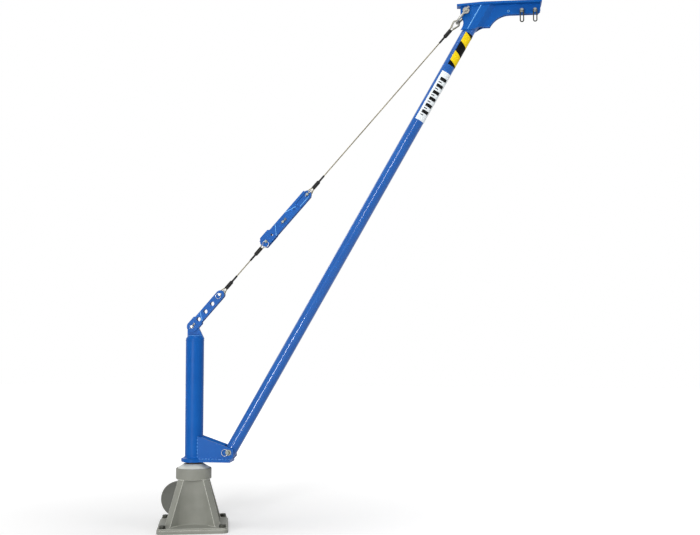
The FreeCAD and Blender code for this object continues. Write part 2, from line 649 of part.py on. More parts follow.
def head_spacer(cheeks):
    """Tube between the folded cheeks, round the bail's pin."""
    bore = BAIL_PIN_RADIUS + RUNNING_GAP
    spacer = tube(BAIL_PIN.x, BAIL_PIN.z, SPACER_RADIUS, bore, -JIB_RADIUS, JIB_RADIUS)
    for cheek in cheeks:
        spacer = spacer.cut(cheek)
    return min(spacer.Solids, key=lambda solid: abs(solid.CenterOfMass.y))


# Tie, drawn along +X from the link's pivot with the crane's Y kept
def link_plate(side):
    """Flat link with a round head at the mast and a row of setting holes."""
    low, high = sorted((side * LINK_INNER, side * LINK_OUTER))
    taper = LINK_HEAD_REACH + LINK_HEAD_RADIUS - LINK_HALF
    plate = slab(polygon([
        V(0, 0, -LINK_HEAD_RADIUS),
        V(LINK_HEAD_REACH, 0, -LINK_HEAD_RADIUS),
        V(taper, 0, -LINK_HALF),
        V(LINK_LENGTH, 0, -LINK_HALF),
        V(LINK_LENGTH, 0, LINK_HALF),
        V(taper, 0, LINK_HALF),
        V(LINK_HEAD_REACH, 0, LINK_HEAD_RADIUS),
        V(0, 0, LINK_HEAD_RADIUS),
    ]), low, high)
    plate = plate.fuse(rod(0, 0, LINK_HEAD_RADIUS, low, high))
    plate = plate.fuse(rod(LINK_LENGTH, 0, LINK_HALF, low, high)).removeSplitter()
    plate = plate.cut(rod(0, 0, LINK_PIN_RADIUS, low, high))
    plate = plate.cut(rod(LINK_LENGTH, 0, TIE_PIN_RADIUS, low, high))
    for hole in range(STRIP_HOLES):
        plate = plate.cut(rod(STRIP_FIRST + STRIP_PITCH * hole, 0, STRIP_HOLE_RADIUS, low, high))
    return plate


def teardrop(radius, apex, half):
    """A flat drop: a circle at the origin drawn out to a point on X."""
    tip = V(apex, 0, 0)
    low, high = tangent_points(tip, ORIGIN, radius)
    outline = [
        Part.LineSegment(tip, high),
        Part.Arc(high, V(-math.copysign(radius, apex), 0, 0), low),
        Part.LineSegment(low, tip),
    ]
    return slab(outline, -half, half)


def rope_end(s, way):
    """Eye, thimble and sleeve of one rope end at s, with the rope leaving along way (1 or -1)."""
    legs = [V(EYE_LENGTH + 2 * ROPE_RADIUS, 0, side * EYE_LEG_OFFSET) for side in (1, -1)]
    touch_high = tangent_points(legs[0], ORIGIN, EYE_RADIUS)[1]
    touch_low = tangent_points(legs[1], ORIGIN, EYE_RADIUS)[0]
    path = Part.Wire([
        Part.LineSegment(legs[0], touch_high).toShape(),
        Part.Arc(touch_high, V(-EYE_RADIUS, 0, 0), touch_low).toShape(),
        Part.LineSegment(touch_low, legs[1]).toShape(),
    ])
    section = Part.Wire([Part.Circle(legs[0], touch_high - legs[0], ROPE_RADIUS).toShape()])
    eye = path.makePipeShell([section], True, True)
    outer = teardrop(EYE_RADIUS, EYE_LENGTH - THIMBLE_TIP_GAP, THIMBLE_HALF)
    inner = teardrop(THIMBLE_BORE, EYE_LENGTH - FERRULE_RADIUS, THIMBLE_HALF)
    thimble = outer.cut(inner).cut(eye)
    reach = 2 * EYE_RADIUS
    eye = eye.common(block(-reach, EYE_LENGTH, -reach, reach, -reach, reach))
    taper = EYE_LENGTH + FERRULE_LENGTH
    sleeve = Part.makeCylinder(FERRULE_RADIUS, FERRULE_LENGTH, V(EYE_LENGTH, 0, 0), X_AXIS)
    sleeve = sleeve.fuse(Part.makeCone(FERRULE_RADIUS, SLEEVE_RADIUS, SLEEVE_TAPER, V(taper, 0, 0), X_AXIS))
    slim = V(taper + SLEEVE_TAPER, 0, 0)
    sleeve = sleeve.fuse(Part.makeCylinder(SLEEVE_RADIUS, SLEEVE_LENGTH, slim, X_AXIS)).removeSplitter()
    pieces = []
    for shape in (eye, thimble, sleeve):
        if way < 0:
            shape.rotate(ORIGIN, Y_AXIS, 180)
        shape.translate(V(s, 0, 0))
        pieces.append(shape)
    return pieces


def rope(s_low, s_high):
    """A rope with both its ends: the rope, the two thimbles and the two sleeves."""
    covered = EYE_LENGTH + FERRULE_LENGTH + SLEEVE_TAPER + SLEEVE_LENGTH
    eye_low, thimble_low, sleeve_low = rope_end(s_low, 1)
    eye_high, thimble_high, sleeve_high = rope_end(s_high, -1)
    start = V(s_low + covered, 0, 0)
    run = Part.makeCylinder(ROPE_RADIUS, s_high - s_low - 2 * covered, start, X_AXIS)
    whole = Part.makeCompound([eye_low, run, eye_high])
    return whole, [thimble_low, thimble_high], [sleeve_low, sleeve_high]


def pin_bush(s, half):
    """Bush on a pin that fills the thimble."""
    return tube(s, 0, BUSH_RADIUS, TIE_PIN_RADIUS, -half, half)


def folded_channel(start, end, inner, outer, low, high):
    """A channel along the tie, open below: its inner and outer half widths, its lower and upper edges."""
    body = block(start, end, -outer, outer, low, high)
    return body.cut(block(start, end, -inner, inner, low, high - (outer - inner)))


def setting_hole_places():
    """Distances of the setting holes along the tie."""
    first = LOWER_PIN_S + CHANNEL_HOLE_FIRST
    return [first + CHANNEL_HOLE_PITCH * hole for hole in range(CHANNEL_HOLES)]


def drilled_for_lower_pin(shape):
    """Bore a piece for the lower pin and for the setting holes."""
    shape = shape.cut(rod(LOWER_PIN_S, 0, TIE_PIN_RADIUS, -DOUBLER_OUTER, DOUBLER_OUTER))
    for s in setting_hole_places():
        shape = shape.cut(rod(s, 0, SETTING_PIN_RADIUS, -DOUBLER_OUTER, DOUBLER_OUTER))
    return shape


def adjuster_channel():
    """Outer channel with a row of setting holes, forked round the upper pin; its web is on the upper side."""
    mouth = UPPER_PIN_S + CHANNEL_LIP
    root = UPPER_PIN_S - FORK_BACK
    channel = folded_channel(LOWER_PIN_S - CHANNEL_TAIL, mouth,
                             CHANNEL_INNER, CHANNEL_OUTER, -CHANNEL_LOWER_EDGE, CHANNEL_UPPER_EDGE)
    channel = channel.cut(block(root, mouth, -CHANNEL_OUTER, CHANNEL_OUTER, -FORK_HALF, FORK_HALF))
    channel = channel.cut(rod(root, 0, FORK_HALF, -CHANNEL_OUTER, CHANNEL_OUTER))
    return drilled_for_lower_pin(channel)


def adjuster_doubler(side):
    """Plate that stiffens the channel's flange round the lower pin, with its corners cut off."""
    low, high = sorted((side * CHANNEL_OUTER, side * DOUBLER_OUTER))
    start = LOWER_PIN_S - DOUBLER_TAIL
    end = LOWER_PIN_S + DOUBLER_REACH
    plate = slab(polygon([
        V(start, 0, DOUBLER_CHAMFER - DOUBLER_LOWER_EDGE),
        V(start + DOUBLER_CHAMFER, 0, -DOUBLER_LOWER_EDGE),
        V(end, 0, -DOUBLER_LOWER_EDGE),
        V(end, 0, DOUBLER_UPPER_EDGE - DOUBLER_CHAMFER),
        V(end - DOUBLER_CHAMFER, 0, DOUBLER_UPPER_EDGE),
        V(start + 2 * DOUBLER_CHAMFER, 0, DOUBLER_UPPER_EDGE),
        V(start, 0, DOUBLER_UPPER_EDGE - 2 * DOUBLER_CHAMFER),
    ]), low, high)
    return drilled_for_lower_pin(plate)


def adjuster_slide():
    """Inner channel with a slot that runs on the setting pin and a round end at the upper pin."""
    start = SETTING_PIN_S - SLIDE_TAIL
    slide = folded_channel(start, UPPER_PIN_S, SLIDE_INNER_HALF, SLIDE_OUTER,
                           -SLIDE_LOWER_EDGE, SLIDE_UPPER_EDGE)
    middle = (SLIDE_UPPER_EDGE - SLIDE_LOWER_EDGE) / 2
    round_end = rod(UPPER_PIN_S, middle, SLIDE_UPPER_EDGE - middle, -SLIDE_OUTER, SLIDE_OUTER)
    slide = slide.fuse(round_end)
    reach = 2 * SLIDE_UPPER_EDGE
    slide = slide.cut(block(UPPER_PIN_S - SLIDE_WEB_BACK, UPPER_PIN_S + reach,
                            -SLIDE_INNER_HALF, SLIDE_INNER_HALF, -reach, reach)).removeSplitter()
    radius = SETTING_PIN_RADIUS + SLOT_GAP
    end = SETTING_PIN_S + SLOT_TRAVEL
    slide = slide.cut(block(SETTING_PIN_S, end, -SLIDE_OUTER, SLIDE_OUTER, -radius, radius))
    slide = slide.cut(rod(SETTING_PIN_S, 0, radius, -SLIDE_OUTER, SLIDE_OUTER))
    slide = slide.cut(rod(end, 0, radius, -SLIDE_OUTER, SLIDE_OUTER))
    return slide.cut(rod(UPPER_PIN_S, 0, TIE_PIN_RADIUS, -SLIDE_OUTER, SLIDE_OUTER))


# All nodes
nodes = {"pedestal": pedestal(), "socket_cap": socket_cap()}
nodes["upper_bush"], nodes["lower_bush"], nodes["thrust_washer"] = bearings()

nodes["mast_spigot"] = mast_spigot()
nodes["foot_plate"] = foot_plate()
mast_bore = disc(MAST_RADIUS - MAST_WALL, FOOT_TOP, TUBE_TOP)
nodes["mast_tube"] = disc(MAST_RADIUS, FOOT_TOP, TUBE_TOP).cut(mast_bore)
nodes["mast_cap"] = disc(MAST_RADIUS, TUBE_TOP, MAST_TOP)
nodes["mast_lug"] = mast_lug()
nodes["gusset_near"] = gusset(-1)
nodes["gusset_far"] = gusset(1)
nodes["jib_pivot_pin"], nodes["jib_pivot_washer"], nodes["jib_pivot_ring"] = pivot_pin()

nodes["jib_sleeve"] = jib_sleeve()
nodes["jib_tube"] = jib_tube()
nodes["head_cheek_near"] = head_cheek(-1)
nodes["head_cheek_far"] = head_cheek(1)
nodes["head_top_plate"] = head_top_plate()
nodes["head_spacer"] = head_spacer([nodes["head_cheek_near"], nodes["head_cheek_far"]])
for name, place in zip(("rear", "front"), hoist_pin_places()):
    nodes["hoist_pin_" + name], nodes["hoist_ring_" + name] = hoist_pin(place)
nodes["bail"], nodes["bail_pin"], nodes["bail_cotter"] = bail()

link_pin = headed_pin(0, 0, LINK_PIN_RADIUS, -LINK_OUTER, LINK_OUTER)
link_pin, link_cotter = cotter(link_pin, 0, 0, -LINK_OUTER, LINK_PIN_RADIUS)
end_pin = headed_pin(LINK_LENGTH, 0, TIE_PIN_RADIUS, -LINK_OUTER, LINK_OUTER)
end_pin, link_ring = split_ring(end_pin, LINK_LENGTH, 0, -LINK_OUTER, TIE_PIN_RADIUS, LINK_RING_RADIUS, 180)
lower_pin = headed_pin(LOWER_PIN_S, 0, TIE_PIN_RADIUS, -DOUBLER_OUTER, DOUBLER_OUTER)
lower_pin, adjuster_ring = split_ring(lower_pin, LOWER_PIN_S, 0, -DOUBLER_OUTER, TIE_PIN_RADIUS,
                                      ADJUSTER_RING_RADIUS, 180 + TIE_LEAN)
setting_pin = headed_pin(SETTING_PIN_S, 0, SETTING_PIN_RADIUS, -CHANNEL_OUTER, CHANNEL_OUTER)
setting_pin, setting_cotter = cotter(setting_pin, SETTING_PIN_S, 0, -CHANNEL_OUTER, SETTING_PIN_RADIUS)
upper_pin = headed_pin(UPPER_PIN_S, 0, TIE_PIN_RADIUS, -SLIDE_OUTER, SLIDE_OUTER)
upper_pin, upper_cotter = cotter(upper_pin, UPPER_PIN_S, 0, -SLIDE_OUTER, TIE_PIN_RADIUS)
lower_rope, lower_thimbles, lower_sleeves = rope(LINK_LENGTH, LOWER_PIN_S)
upper_rope, upper_thimbles, upper_sleeves = rope(UPPER_PIN_S, BOW_EYE_S)

tie_nodes = {
    "link_plate_near": link_plate(-1),
    "link_plate_far": link_plate(1),
    "link_pivot_pin": link_pin,
    "link_pivot_cotter": link_cotter,
    "link_end_pin": end_pin,
    "link_ring": link_ring,
    "link_bush": pin_bush(LINK_LENGTH, LINK_INNER),
    "lower_rope": lower_rope,
    "lower_rope_thimble_low": lower_thimbles[0],
    "lower_rope_thimble_high": lower_thimbles[1],
    "lower_rope_sleeve_low": lower_sleeves[0],
    "lower_rope_sleeve_high": lower_sleeves[1],
    "adjuster_channel": adjuster_channel(),
    "adjuster_doubler_near": adjuster_doubler(-1),
    "adjuster_doubler_far": adjuster_doubler(1),
    "adjuster_lower_pin": lower_pin,
    "adjuster_lower_bush": pin_bush(LOWER_PIN_S, CHANNEL_INNER),
    "adjuster_ring": adjuster_ring,
    "setting_pin": setting_pin,
    "setting_cotter": setting_cotter,
    "adjuster_slide": adjuster_slide(),
    "adjuster_upper_pin": upper_pin,
    "adjuster_upper_cotter": upper_cotter,
    "adjuster_upper_bush": pin_bush(UPPER_PIN_S, SLIDE_INNER_HALF),
    "upper_rope": upper_rope,
    "upper_rope_thimble_low": upper_thimbles[0],
    "upper_rope_thimble_high": upper_thimbles[1],
    "upper_rope_sleeve_low": upper_sleeves[0],
    "upper_rope_sleeve_high": upper_sleeves[1],
}
nodes.update({name: on_tie(shape) for name, shape in tie_nodes.items()})

os.makedirs("parts", exist_ok=True)
for name, shape in nodes.items():
    shape.exportStep(os.path.join("parts", name + ".step"))
    state = "valid" if shape.isValid() else "NOT VALID"
    print(name, len(shape.Solids), "solid(s)", round(shape.Volume), "mm3", state)
print(len(nodes), "nodes; tie", round(TIE.Length, 1), "at", round(TIE_LEAN, 2), "degrees")
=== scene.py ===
# %% [markdown]
# # A davit crane, dressed in Blender
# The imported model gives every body, joint and solid of the crane in metres. This lesson keeps that
# frame, gives its plain solids painted and plated finishes, and replaces the pieces whose real form
# is finer than a plain solid: wire ropes, thimbles, sleeves, rings and the casting. Weld beads, tape and
# other thin trim are added on top.

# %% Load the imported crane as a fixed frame
import json
import math

import bmesh
import bpy
import numpy as np
from mathutils import Matrix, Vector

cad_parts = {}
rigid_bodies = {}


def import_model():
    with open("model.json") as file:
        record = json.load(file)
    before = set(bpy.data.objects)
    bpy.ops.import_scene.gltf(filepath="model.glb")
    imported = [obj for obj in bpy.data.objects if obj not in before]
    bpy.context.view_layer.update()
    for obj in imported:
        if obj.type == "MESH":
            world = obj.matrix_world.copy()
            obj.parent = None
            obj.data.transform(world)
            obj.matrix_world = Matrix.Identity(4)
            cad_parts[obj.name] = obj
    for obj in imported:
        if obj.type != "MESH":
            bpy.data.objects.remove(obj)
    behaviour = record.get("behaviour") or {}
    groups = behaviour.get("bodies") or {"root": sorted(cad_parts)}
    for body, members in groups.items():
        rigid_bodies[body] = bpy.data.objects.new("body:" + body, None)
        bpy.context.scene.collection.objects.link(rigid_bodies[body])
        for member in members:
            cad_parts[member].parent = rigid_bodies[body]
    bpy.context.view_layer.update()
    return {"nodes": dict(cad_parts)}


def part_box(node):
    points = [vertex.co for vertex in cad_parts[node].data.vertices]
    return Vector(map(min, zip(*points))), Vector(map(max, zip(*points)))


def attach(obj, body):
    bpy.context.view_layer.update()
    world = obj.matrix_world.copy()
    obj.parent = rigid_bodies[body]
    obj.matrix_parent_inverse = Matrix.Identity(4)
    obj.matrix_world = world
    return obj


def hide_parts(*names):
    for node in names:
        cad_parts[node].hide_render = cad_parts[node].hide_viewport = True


for stray in list(bpy.data.objects):
    bpy.data.objects.remove(stray)
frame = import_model()
scene = bpy.context.scene

# %% [markdown]
# ## The viewpoint
# The picture was taken from the crane's near side, a little below the middle of the jib, with a long
# lens. A camera keeps its sensor width and focal length in millimetres, so the focal length in pixels
# that was worked out for a picture 700 pixels wide becomes 36 mm times pixels over 700. Place and turn were
# fitted to the crane's main corners, which is surer than moving a camera by eye.

# %% Camera
PICTURE_WIDTH = 700
FOCAL_PIXELS = 1007.0
SENSOR = 36.0
CAMERA_PLACE = (1.371, -4.869, 0.970)
CAMERA_TURN = (93.5, 0.0, 7.0)

lens = bpy.data.cameras.new("camera")
lens.sensor_width = SENSOR
lens.lens = SENSOR * FOCAL_PIXELS / PICTURE_WIDTH
camera = bpy.data.objects.new("camera", lens)
camera.location = CAMERA_PLACE
camera.rotation_euler = [math.radians(angle) for angle in CAMERA_TURN]
scene.collection.objects.link(camera)
scene.camera = camera
print("lens:", round(lens.lens, 2), "mm")

# %% [markdown]
# ## Surfaces as arrays
# Every new piece is a grid of points: one parameter runs along it and one runs round it. Neighbours
# in the grid make the quads, so a piece needs only the formula of its points. Three helpers carry
# most shapes: a section carried along a path, a profile turned about an axis, and an arc for a rounded
# corner. Pulling primitives into shape would also do, but a formula keeps its sizes in named values.

# %% Grid helpers
MM = 0.001
FORE = np.array([1.0, 0.0, 0.0])
ACROSS = np.array([0.0, 1.0, 0.0])
UP = np.array([0.0, 0.0, 1.0])


def unit(vectors):
    """Each vector divided by its own length."""
    return vectors / np.linalg.norm(vectors, axis=-1, keepdims=True)


def distances(path):
    """How far each point of a path lies along it: the running sum of the steps between points."""
    return np.append(0.0, np.cumsum(np.linalg.norm(np.diff(path, axis=0), axis=1)))


def smooth_step(share):
    """Three times the square less twice the cube: a rise from 0 to 1 with level ends."""
    return share ** 2 * (3.0 - 2.0 * share)


def circle(radius, count):
    """Points of a circle as pairs, counted once round."""
    angle = np.linspace(0.0, 2.0 * np.pi, count, endpoint=False)
    return radius * np.column_stack([np.cos(angle), np.sin(angle)])


def shell(points, wrap_rows=False, wrap_cols=True, caps=True):
    """A grid of rows and columns as vertices and faces; caps close the first and the last row."""
    rows, cols = points.shape[:2]
    r, c = np.meshgrid(
        np.arange(rows if wrap_rows else rows - 1), np.arange(cols if wrap_cols else cols - 1), indexing="ij"
    )
    r_next, c_next = (r + 1) % rows, (c + 1) % cols
    quads = np.stack([r * cols + c, r * cols + c_next, r_next * cols + c_next, r_next * cols + c], -1)
    faces = quads.reshape(-1, 4).tolist()
    if caps and not wrap_rows:
        faces += [list(range(cols))[::-1], list(range((rows - 1) * cols, rows * cols))]
    return points.reshape(-1, 3), faces


def sweep(section, path, side, closed=False):
    """Carry a section along a path: its first axis is the side direction made square to the path,
    its second is the path's direction times the first. One section serves all points, or one each."""
    ahead = np.roll(path, -1, 0) - np.roll(path, 1, 0) if closed else np.gradient(path, axis=0)
    ahead = unit(ahead)
    first = np.broadcast_to(side, path.shape)
    first = unit(first - (first * ahead).sum(1, keepdims=True) * ahead)
    second = np.cross(ahead, first)
    return path[:, None] + section[..., :1] * first[:, None] + section[..., 1:] * second[:, None]


def lathe(profile, centre, axis, start, count=72):
    """Turn a profile of radius and height pairs about an axis: radius goes round, height goes along."""
    ring = circle(1.0, count)
    other = np.cross(axis, start)
    spokes = ring[:, :1] * start + ring[:, 1:] * other
    return centre + profile[:, None, :1] * spokes + profile[:, None, 1:] * axis


def corner(centre, radius, first, last, count=6):
    """An arc of a profile: its centre plus a radius turned from one angle to another, in degrees."""
    angle = np.radians(np.linspace(first, last, count))
    return np.asarray(centre) + radius * np.column_stack([np.cos(angle), np.sin(angle)])


# %% Mesh maker
SHARP = 35.0


def shade(mesh, sharp=SHARP):
    """Smooth shading, with hard edges where faces meet at more than an angle in degrees."""
    mesh.shade_smooth()
    mesh.set_sharp_from_angle(angle=math.radians(sharp))


def make_piece(name, shells, finish, body, stands_for=(), sharp=SHARP, marks=None):
    """Join shells into one mesh, close its seams, turn its faces outwards and let it ride on a body."""
    starts = np.cumsum([0] + [len(points) for points, _ in shells])
    points = np.concatenate([points for points, _ in shells])
    faces = [
        [i + start for i in face] for (_, face_list), start in zip(shells, starts) for face in face_list
    ]
    mesh = bpy.data.meshes.new(name)
    mesh.from_pydata(points.tolist(), [], faces)
    if marks is not None:
        layer = mesh.attributes.new("place", "FLOAT_VECTOR", "POINT")
        layer.data.foreach_set("vector", np.asarray(marks, float).ravel())
    build = bmesh.new()
    build.from_mesh(mesh)
    bmesh.ops.remove_doubles(build, verts=build.verts, dist=1e-6)
    bmesh.ops.recalc_face_normals(build, faces=build.faces)
    build.to_mesh(mesh)
    build.free()
    shade(mesh, sharp)
    piece = bpy.data.objects.new(name, mesh)
    scene.collection.objects.link(piece)
    mesh.materials.append(finish)
    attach(piece, body)
    if stands_for:
        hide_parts(*stands_for)
    print(f"{name}: {len(mesh.vertices)} points, {len(mesh.polygons)} faces")
    return piece


# %% [markdown]
# ## Finishes
# A painted or plated surface is never one flat colour. Two effects are shared: a fine grain, which
# gives paint its orange peel and a casting its sand, and the rounding of edges, where light catches;
# its mask also lays a lighter colour on the edges, a painted highlight. Each is a node group that puts out
# only masks and normals; the shader with its own constants stays in each material.

# %% Colours
def paint(red, green, blue):
    """A colour as a screen shows it, 0 to 255, turned into the linear values that light adds up in."""
    share = np.array([red, green, blue]) / 255.0
    linear = np.where(share <= 0.04045, share / 12.92, ((share + 0.055) / 1.055) ** 2.4)
    return (*linear.tolist(), 1.0)


print("middle grey in linear light:", round(paint(128, 128, 128)[0], 3))


# %% Node helpers
def link(tree, source, target):
    """Run a wire from one node's output to another node's input."""
    tree.links.new(source, target)


def set_inputs(node, values):
    """Put constants on a node's own sockets, by their names."""
    for label, value in values.items():
        node.inputs[label].default_value = value


def new_material(name):
    """A new material with its tree and its shader."""
    material = bpy.data.materials.new(name)
    material.use_nodes = True
    return material, material.node_tree, material.node_tree.nodes["Principled BSDF"]


def new_group(name, inputs, outputs):
    """An empty shader group with named value inputs, and outputs given as (name, socket type)."""
    group = bpy.data.node_groups.new(name, "ShaderNodeTree")
    for label, value in inputs:
        socket = group.interface.new_socket(label, in_out="INPUT", socket_type="NodeSocketFloat")
        socket.default_value = value
    for label, kind in outputs:
        group.interface.new_socket(label, in_out="OUTPUT", socket_type=kind)
    return group, group.nodes.new("NodeGroupInput"), group.nodes.new("NodeGroupOutput")


def ramp(tree, source, low, high, out_low=0.0, out_high=1.0):
    """Map a value from one range to another, clamped."""
    node = tree.nodes.new("ShaderNodeMapRange")
    link(tree, source, node.inputs["Value"])
    set_inputs(node, {"From Min": low, "From Max": high, "To Min": out_low, "To Max": out_high})
    return node.outputs["Result"]


def mix(tree, share, first, second):
    """Mix two colours; each is a constant or a socket."""
    node = tree.nodes.new("ShaderNodeMix")
    node.data_type = "RGBA"
    link(tree, share, node.inputs["Factor"])
    for socket, value in ((node.inputs[6], first), (node.inputs[7], second)):
        if isinstance(value, tuple):
            socket.default_value = value
        else:
            link(tree, value, socket)
    return node.outputs[2]


# %% Shared effect: surface grain
GRAIN, grain_in, grain_out = new_group(
    "surface grain",
    [("Fine Scale", 900.0), ("Broad Scale", 9.0)],
    [("Fine", "NodeSocketFloat"), ("Broad", "NodeSocketFloat")],
)
grain_place = GRAIN.nodes.new("ShaderNodeTexCoord")
for scale_name, detail, out_name in (("Fine Scale", 2.0, "Fine"), ("Broad Scale", 4.0, "Broad")):
    noise = GRAIN.nodes.new("ShaderNodeTexNoise")
    noise.inputs["Detail"].default_value = detail
    link(GRAIN, grain_place.outputs["Object"], noise.inputs["Vector"])
    link(GRAIN, grain_in.outputs[scale_name], noise.inputs["Scale"])
    link(GRAIN, noise.outputs["Fac"], grain_out.inputs[out_name])

# %% Shared effect: rounded edges
FLAT_DOT, ROUNDED_DOT = 0.99, 0.86
EDGES, edges_in, edges_out = new_group(
    "rounded edges", [("Radius", 0.0012)], [("Edge", "NodeSocketFloat"), ("Normal", "NodeSocketVector")]
)
edge_bevel = EDGES.nodes.new("ShaderNodeBevel")
edge_bevel.samples = 6
edge_face = EDGES.nodes.new("ShaderNodeNewGeometry")
edge_dot = EDGES.nodes.new("ShaderNodeVectorMath")
edge_dot.operation = "DOT_PRODUCT"
link(EDGES, edges_in.outputs["Radius"], edge_bevel.inputs["Radius"])
link(EDGES, edge_bevel.outputs["Normal"], edge_dot.inputs[0])
link(EDGES, edge_face.outputs["Normal"], edge_dot.inputs[1])
link(EDGES, ramp(EDGES, edge_dot.outputs["Value"], FLAT_DOT, ROUNDED_DOT), edges_out.inputs["Edge"])
link(EDGES, edge_bevel.outputs["Normal"], edges_out.inputs["Normal"])
print("shared effects:", GRAIN.name, "and", EDGES.name)


# %% Grain and bump in a material
def add_grain(tree, fine, broad):
    """Place the grain group in a material, with its own two scales."""
    grain = tree.nodes.new("ShaderNodeGroup")
    grain.node_tree = GRAIN
    set_inputs(grain, {"Fine Scale": fine, "Broad Scale": broad})
    return grain


def add_bump(tree, surface, height, strength, depth, normal=None):
    """Raise a surface by a height, over another normal where one is given."""
    bump = tree.nodes.new("ShaderNodeBump")
    set_inputs(bump, {"Strength": strength, "Distance": depth})
    link(tree, height, bump.inputs["Height"])
    if normal is not None:
        link(tree, normal, bump.inputs["Normal"])
    link(tree, bump.outputs["Normal"], surface.inputs["Normal"])


# %% Finish maker
COAT_ROUGHNESS, COAT_IOR = 0.08, 1.35
MOTTLE = (0.3, 0.7)


def make_finish(name, dark, light, rough, metal=0.0, fine=900.0, broad=9.0, bump=0.1, deep=0.0004,
                edge_highlight=None, edge_radius=0.0012, edge_share=0.5, coat=0.0, specular=0.5):
    """A finish from two colours and two roughnesses mixed by the broad grain, a bump from the fine
    grain over rounded edges, and a lighter colour on the edges that is a painted highlight."""
    finish, tree, surface = new_material(name)
    grain = add_grain(tree, fine, broad)
    edges = tree.nodes.new("ShaderNodeGroup")
    edges.node_tree = EDGES
    set_inputs(edges, {"Radius": edge_radius})
    colour = mix(tree, ramp(tree, grain.outputs["Broad"], *MOTTLE), dark, light)
    # Painted highlight: the edge mask lays a lighter colour on the rounded edges.
    if edge_highlight:
        painted_edge_highlight = ramp(tree, edges.outputs["Edge"], 0.0, 1.0, 0.0, edge_share)
        colour = mix(tree, painted_edge_highlight, colour, edge_highlight)
    link(tree, colour, surface.inputs["Base Color"])
    link(tree, ramp(tree, grain.outputs["Broad"], *MOTTLE, *rough), surface.inputs["Roughness"])
    add_bump(tree, surface, grain.outputs["Fine"], bump, deep, edges.outputs["Normal"])
    set_inputs(surface, {
        "Metallic": metal, "Specular IOR Level": specular, "Coat Weight": coat,
        "Coat Roughness": COAT_ROUGHNESS, "Coat IOR": COAT_IOR,
    })
    return finish


# %% [markdown]
# ### The crane's own finishes
# The steelwork wears one clear blue powder coat with a soft gloss; the jib's tube has a glossier top
# coat. The weld spots and the head's web are painted a lighter blue, the cover between the gussets a lighter
# flat blue, and fold ridges, sight rims and tie edges a still lighter one: painted highlights, and painted
# light against shade. The casting is a rough grey; its edges and the cone on its collar are painted near
# white as highlights, its cap is darker. Pins, split rings and thimbles are zinc, brighter or duller, with
# the duller zinc also darkening the setting pin as painted shade; pull rings and foundation bolts are dark
# steel, the bearings bronze. One maker serves them all, so a finish is a row of numbers and two finishes are
# easy to compare.

# %% Blue coats and welds
# The third blue is a painted highlight: a lighter blue laid on the rounded edges by the edge mask.
BLUE_DARK, BLUE_LIGHT, BLUE_EDGE_HIGHLIGHT = paint(12, 82, 160), paint(18, 91, 171), paint(62, 132, 205)
BLUE = make_finish(
    "blue powder coat", BLUE_DARK, BLUE_LIGHT, (0.32, 0.40), fine=650.0, bump=0.10,
    edge_highlight=BLUE_EDGE_HIGHLIGHT, edge_share=0.35, specular=0.1,
)
GLOSS = make_finish(
    "glossy blue coat", BLUE_DARK, BLUE_LIGHT, (0.30, 0.38), fine=650.0, bump=0.03,
    edge_highlight=BLUE_EDGE_HIGHLIGHT, edge_share=0.35, specular=0.1, coat=0.85,
)
# The weld blue is lighter than the coat: a painted highlight on the weld spots, and painted light against
# shade on the head's web.
WELD_HIGHLIGHT_BLUE = make_finish(
    "weld blue, lightened as painted highlight", paint(34, 104, 184), paint(66, 136, 208), (0.20, 0.28), fine=650.0, bump=0.10,
    specular=0.5, edge_radius=0.0004,
)
# A light blue for thin beads on edges, folds and rims: a painted highlight for the light these edges catch.
PAINTED_HIGHLIGHT_LINE = make_finish(
    "painted highlight line", paint(96, 166, 232), paint(122, 188, 244), (0.30, 0.38), fine=650.0, bump=0.05,
    edge_radius=0.0003, specular=0.3,
)
# A lighter, flat copy of the coat for the cover between the gussets: painted light against the shade of that
# gap.
LIGHTENED_FLAT_BLUE = make_finish(
    "flat blue, lightened against shade", paint(30, 100, 182), paint(36, 108, 192), (0.70, 0.80), fine=650.0, bump=0.10,
    edge_radius=0.0003, specular=0.0,
)
BLUE_FINISHES = (BLUE, GLOSS, WELD_HIGHLIGHT_BLUE, PAINTED_HIGHLIGHT_LINE, LIGHTENED_FLAT_BLUE)
print("blue finishes:", ", ".join(finish.name for finish in BLUE_FINISHES))

# %% Casting, cap and bearings
# The casting's near-white edge colour is a painted highlight along its rib and step edges.
PEDESTAL_GREY = make_finish(
    "cast pedestal grey", paint(128, 129, 121), paint(142, 143, 135), (0.50, 0.62), fine=420.0, bump=0.35,
    edge_highlight=paint(240, 241, 230), edge_radius=0.0038, edge_share=0.95, specular=0.25,
)
# The cap's paler edge colour is a painted highlight too.
CAP_GREY = make_finish(
    "cap grey", paint(98, 99, 94), paint(110, 111, 106), (0.5, 0.62), fine=420.0, bump=0.3,
    edge_highlight=paint(158, 158, 149), edge_radius=0.003, edge_share=0.7, specular=0.25,
)
# A near-white grey for the collar's cone: a painted highlight for the light on its top.
CONE_HIGHLIGHT_GREY = make_finish(
    "cone highlight grey", paint(196, 198, 190), paint(212, 214, 207), (0.42, 0.52), fine=420.0, bump=0.2,
    edge_radius=0.0004, specular=0.3,
)
BRONZE = make_finish("bearing bronze", paint(58, 47, 33), paint(74, 60, 42), (0.5, 0.6), metal=0.6)
TURNED = make_finish("turned steel", paint(70, 70, 70), paint(92, 92, 91), (0.35, 0.5), metal=0.9)
BASE_FINISHES = (PEDESTAL_GREY, CAP_GREY, CONE_HIGHLIGHT_GREY, BRONZE, TURNED)
print("base finishes:", ", ".join(finish.name for finish in BASE_FINISHES))

# %% Zinc, rope, sleeve and dark steel
ZINC = make_finish(
    "zinc plate", paint(136, 136, 131), paint(164, 163, 156), (0.30, 0.44), metal=0.95, fine=1400.0,
    bump=0.06, edge_radius=0.0006,
)
RING_ZINC = make_finish(
    "bright zinc", paint(192, 193, 188), paint(212, 212, 206), (0.25, 0.36), metal=0.5, edge_radius=0.0003,
)
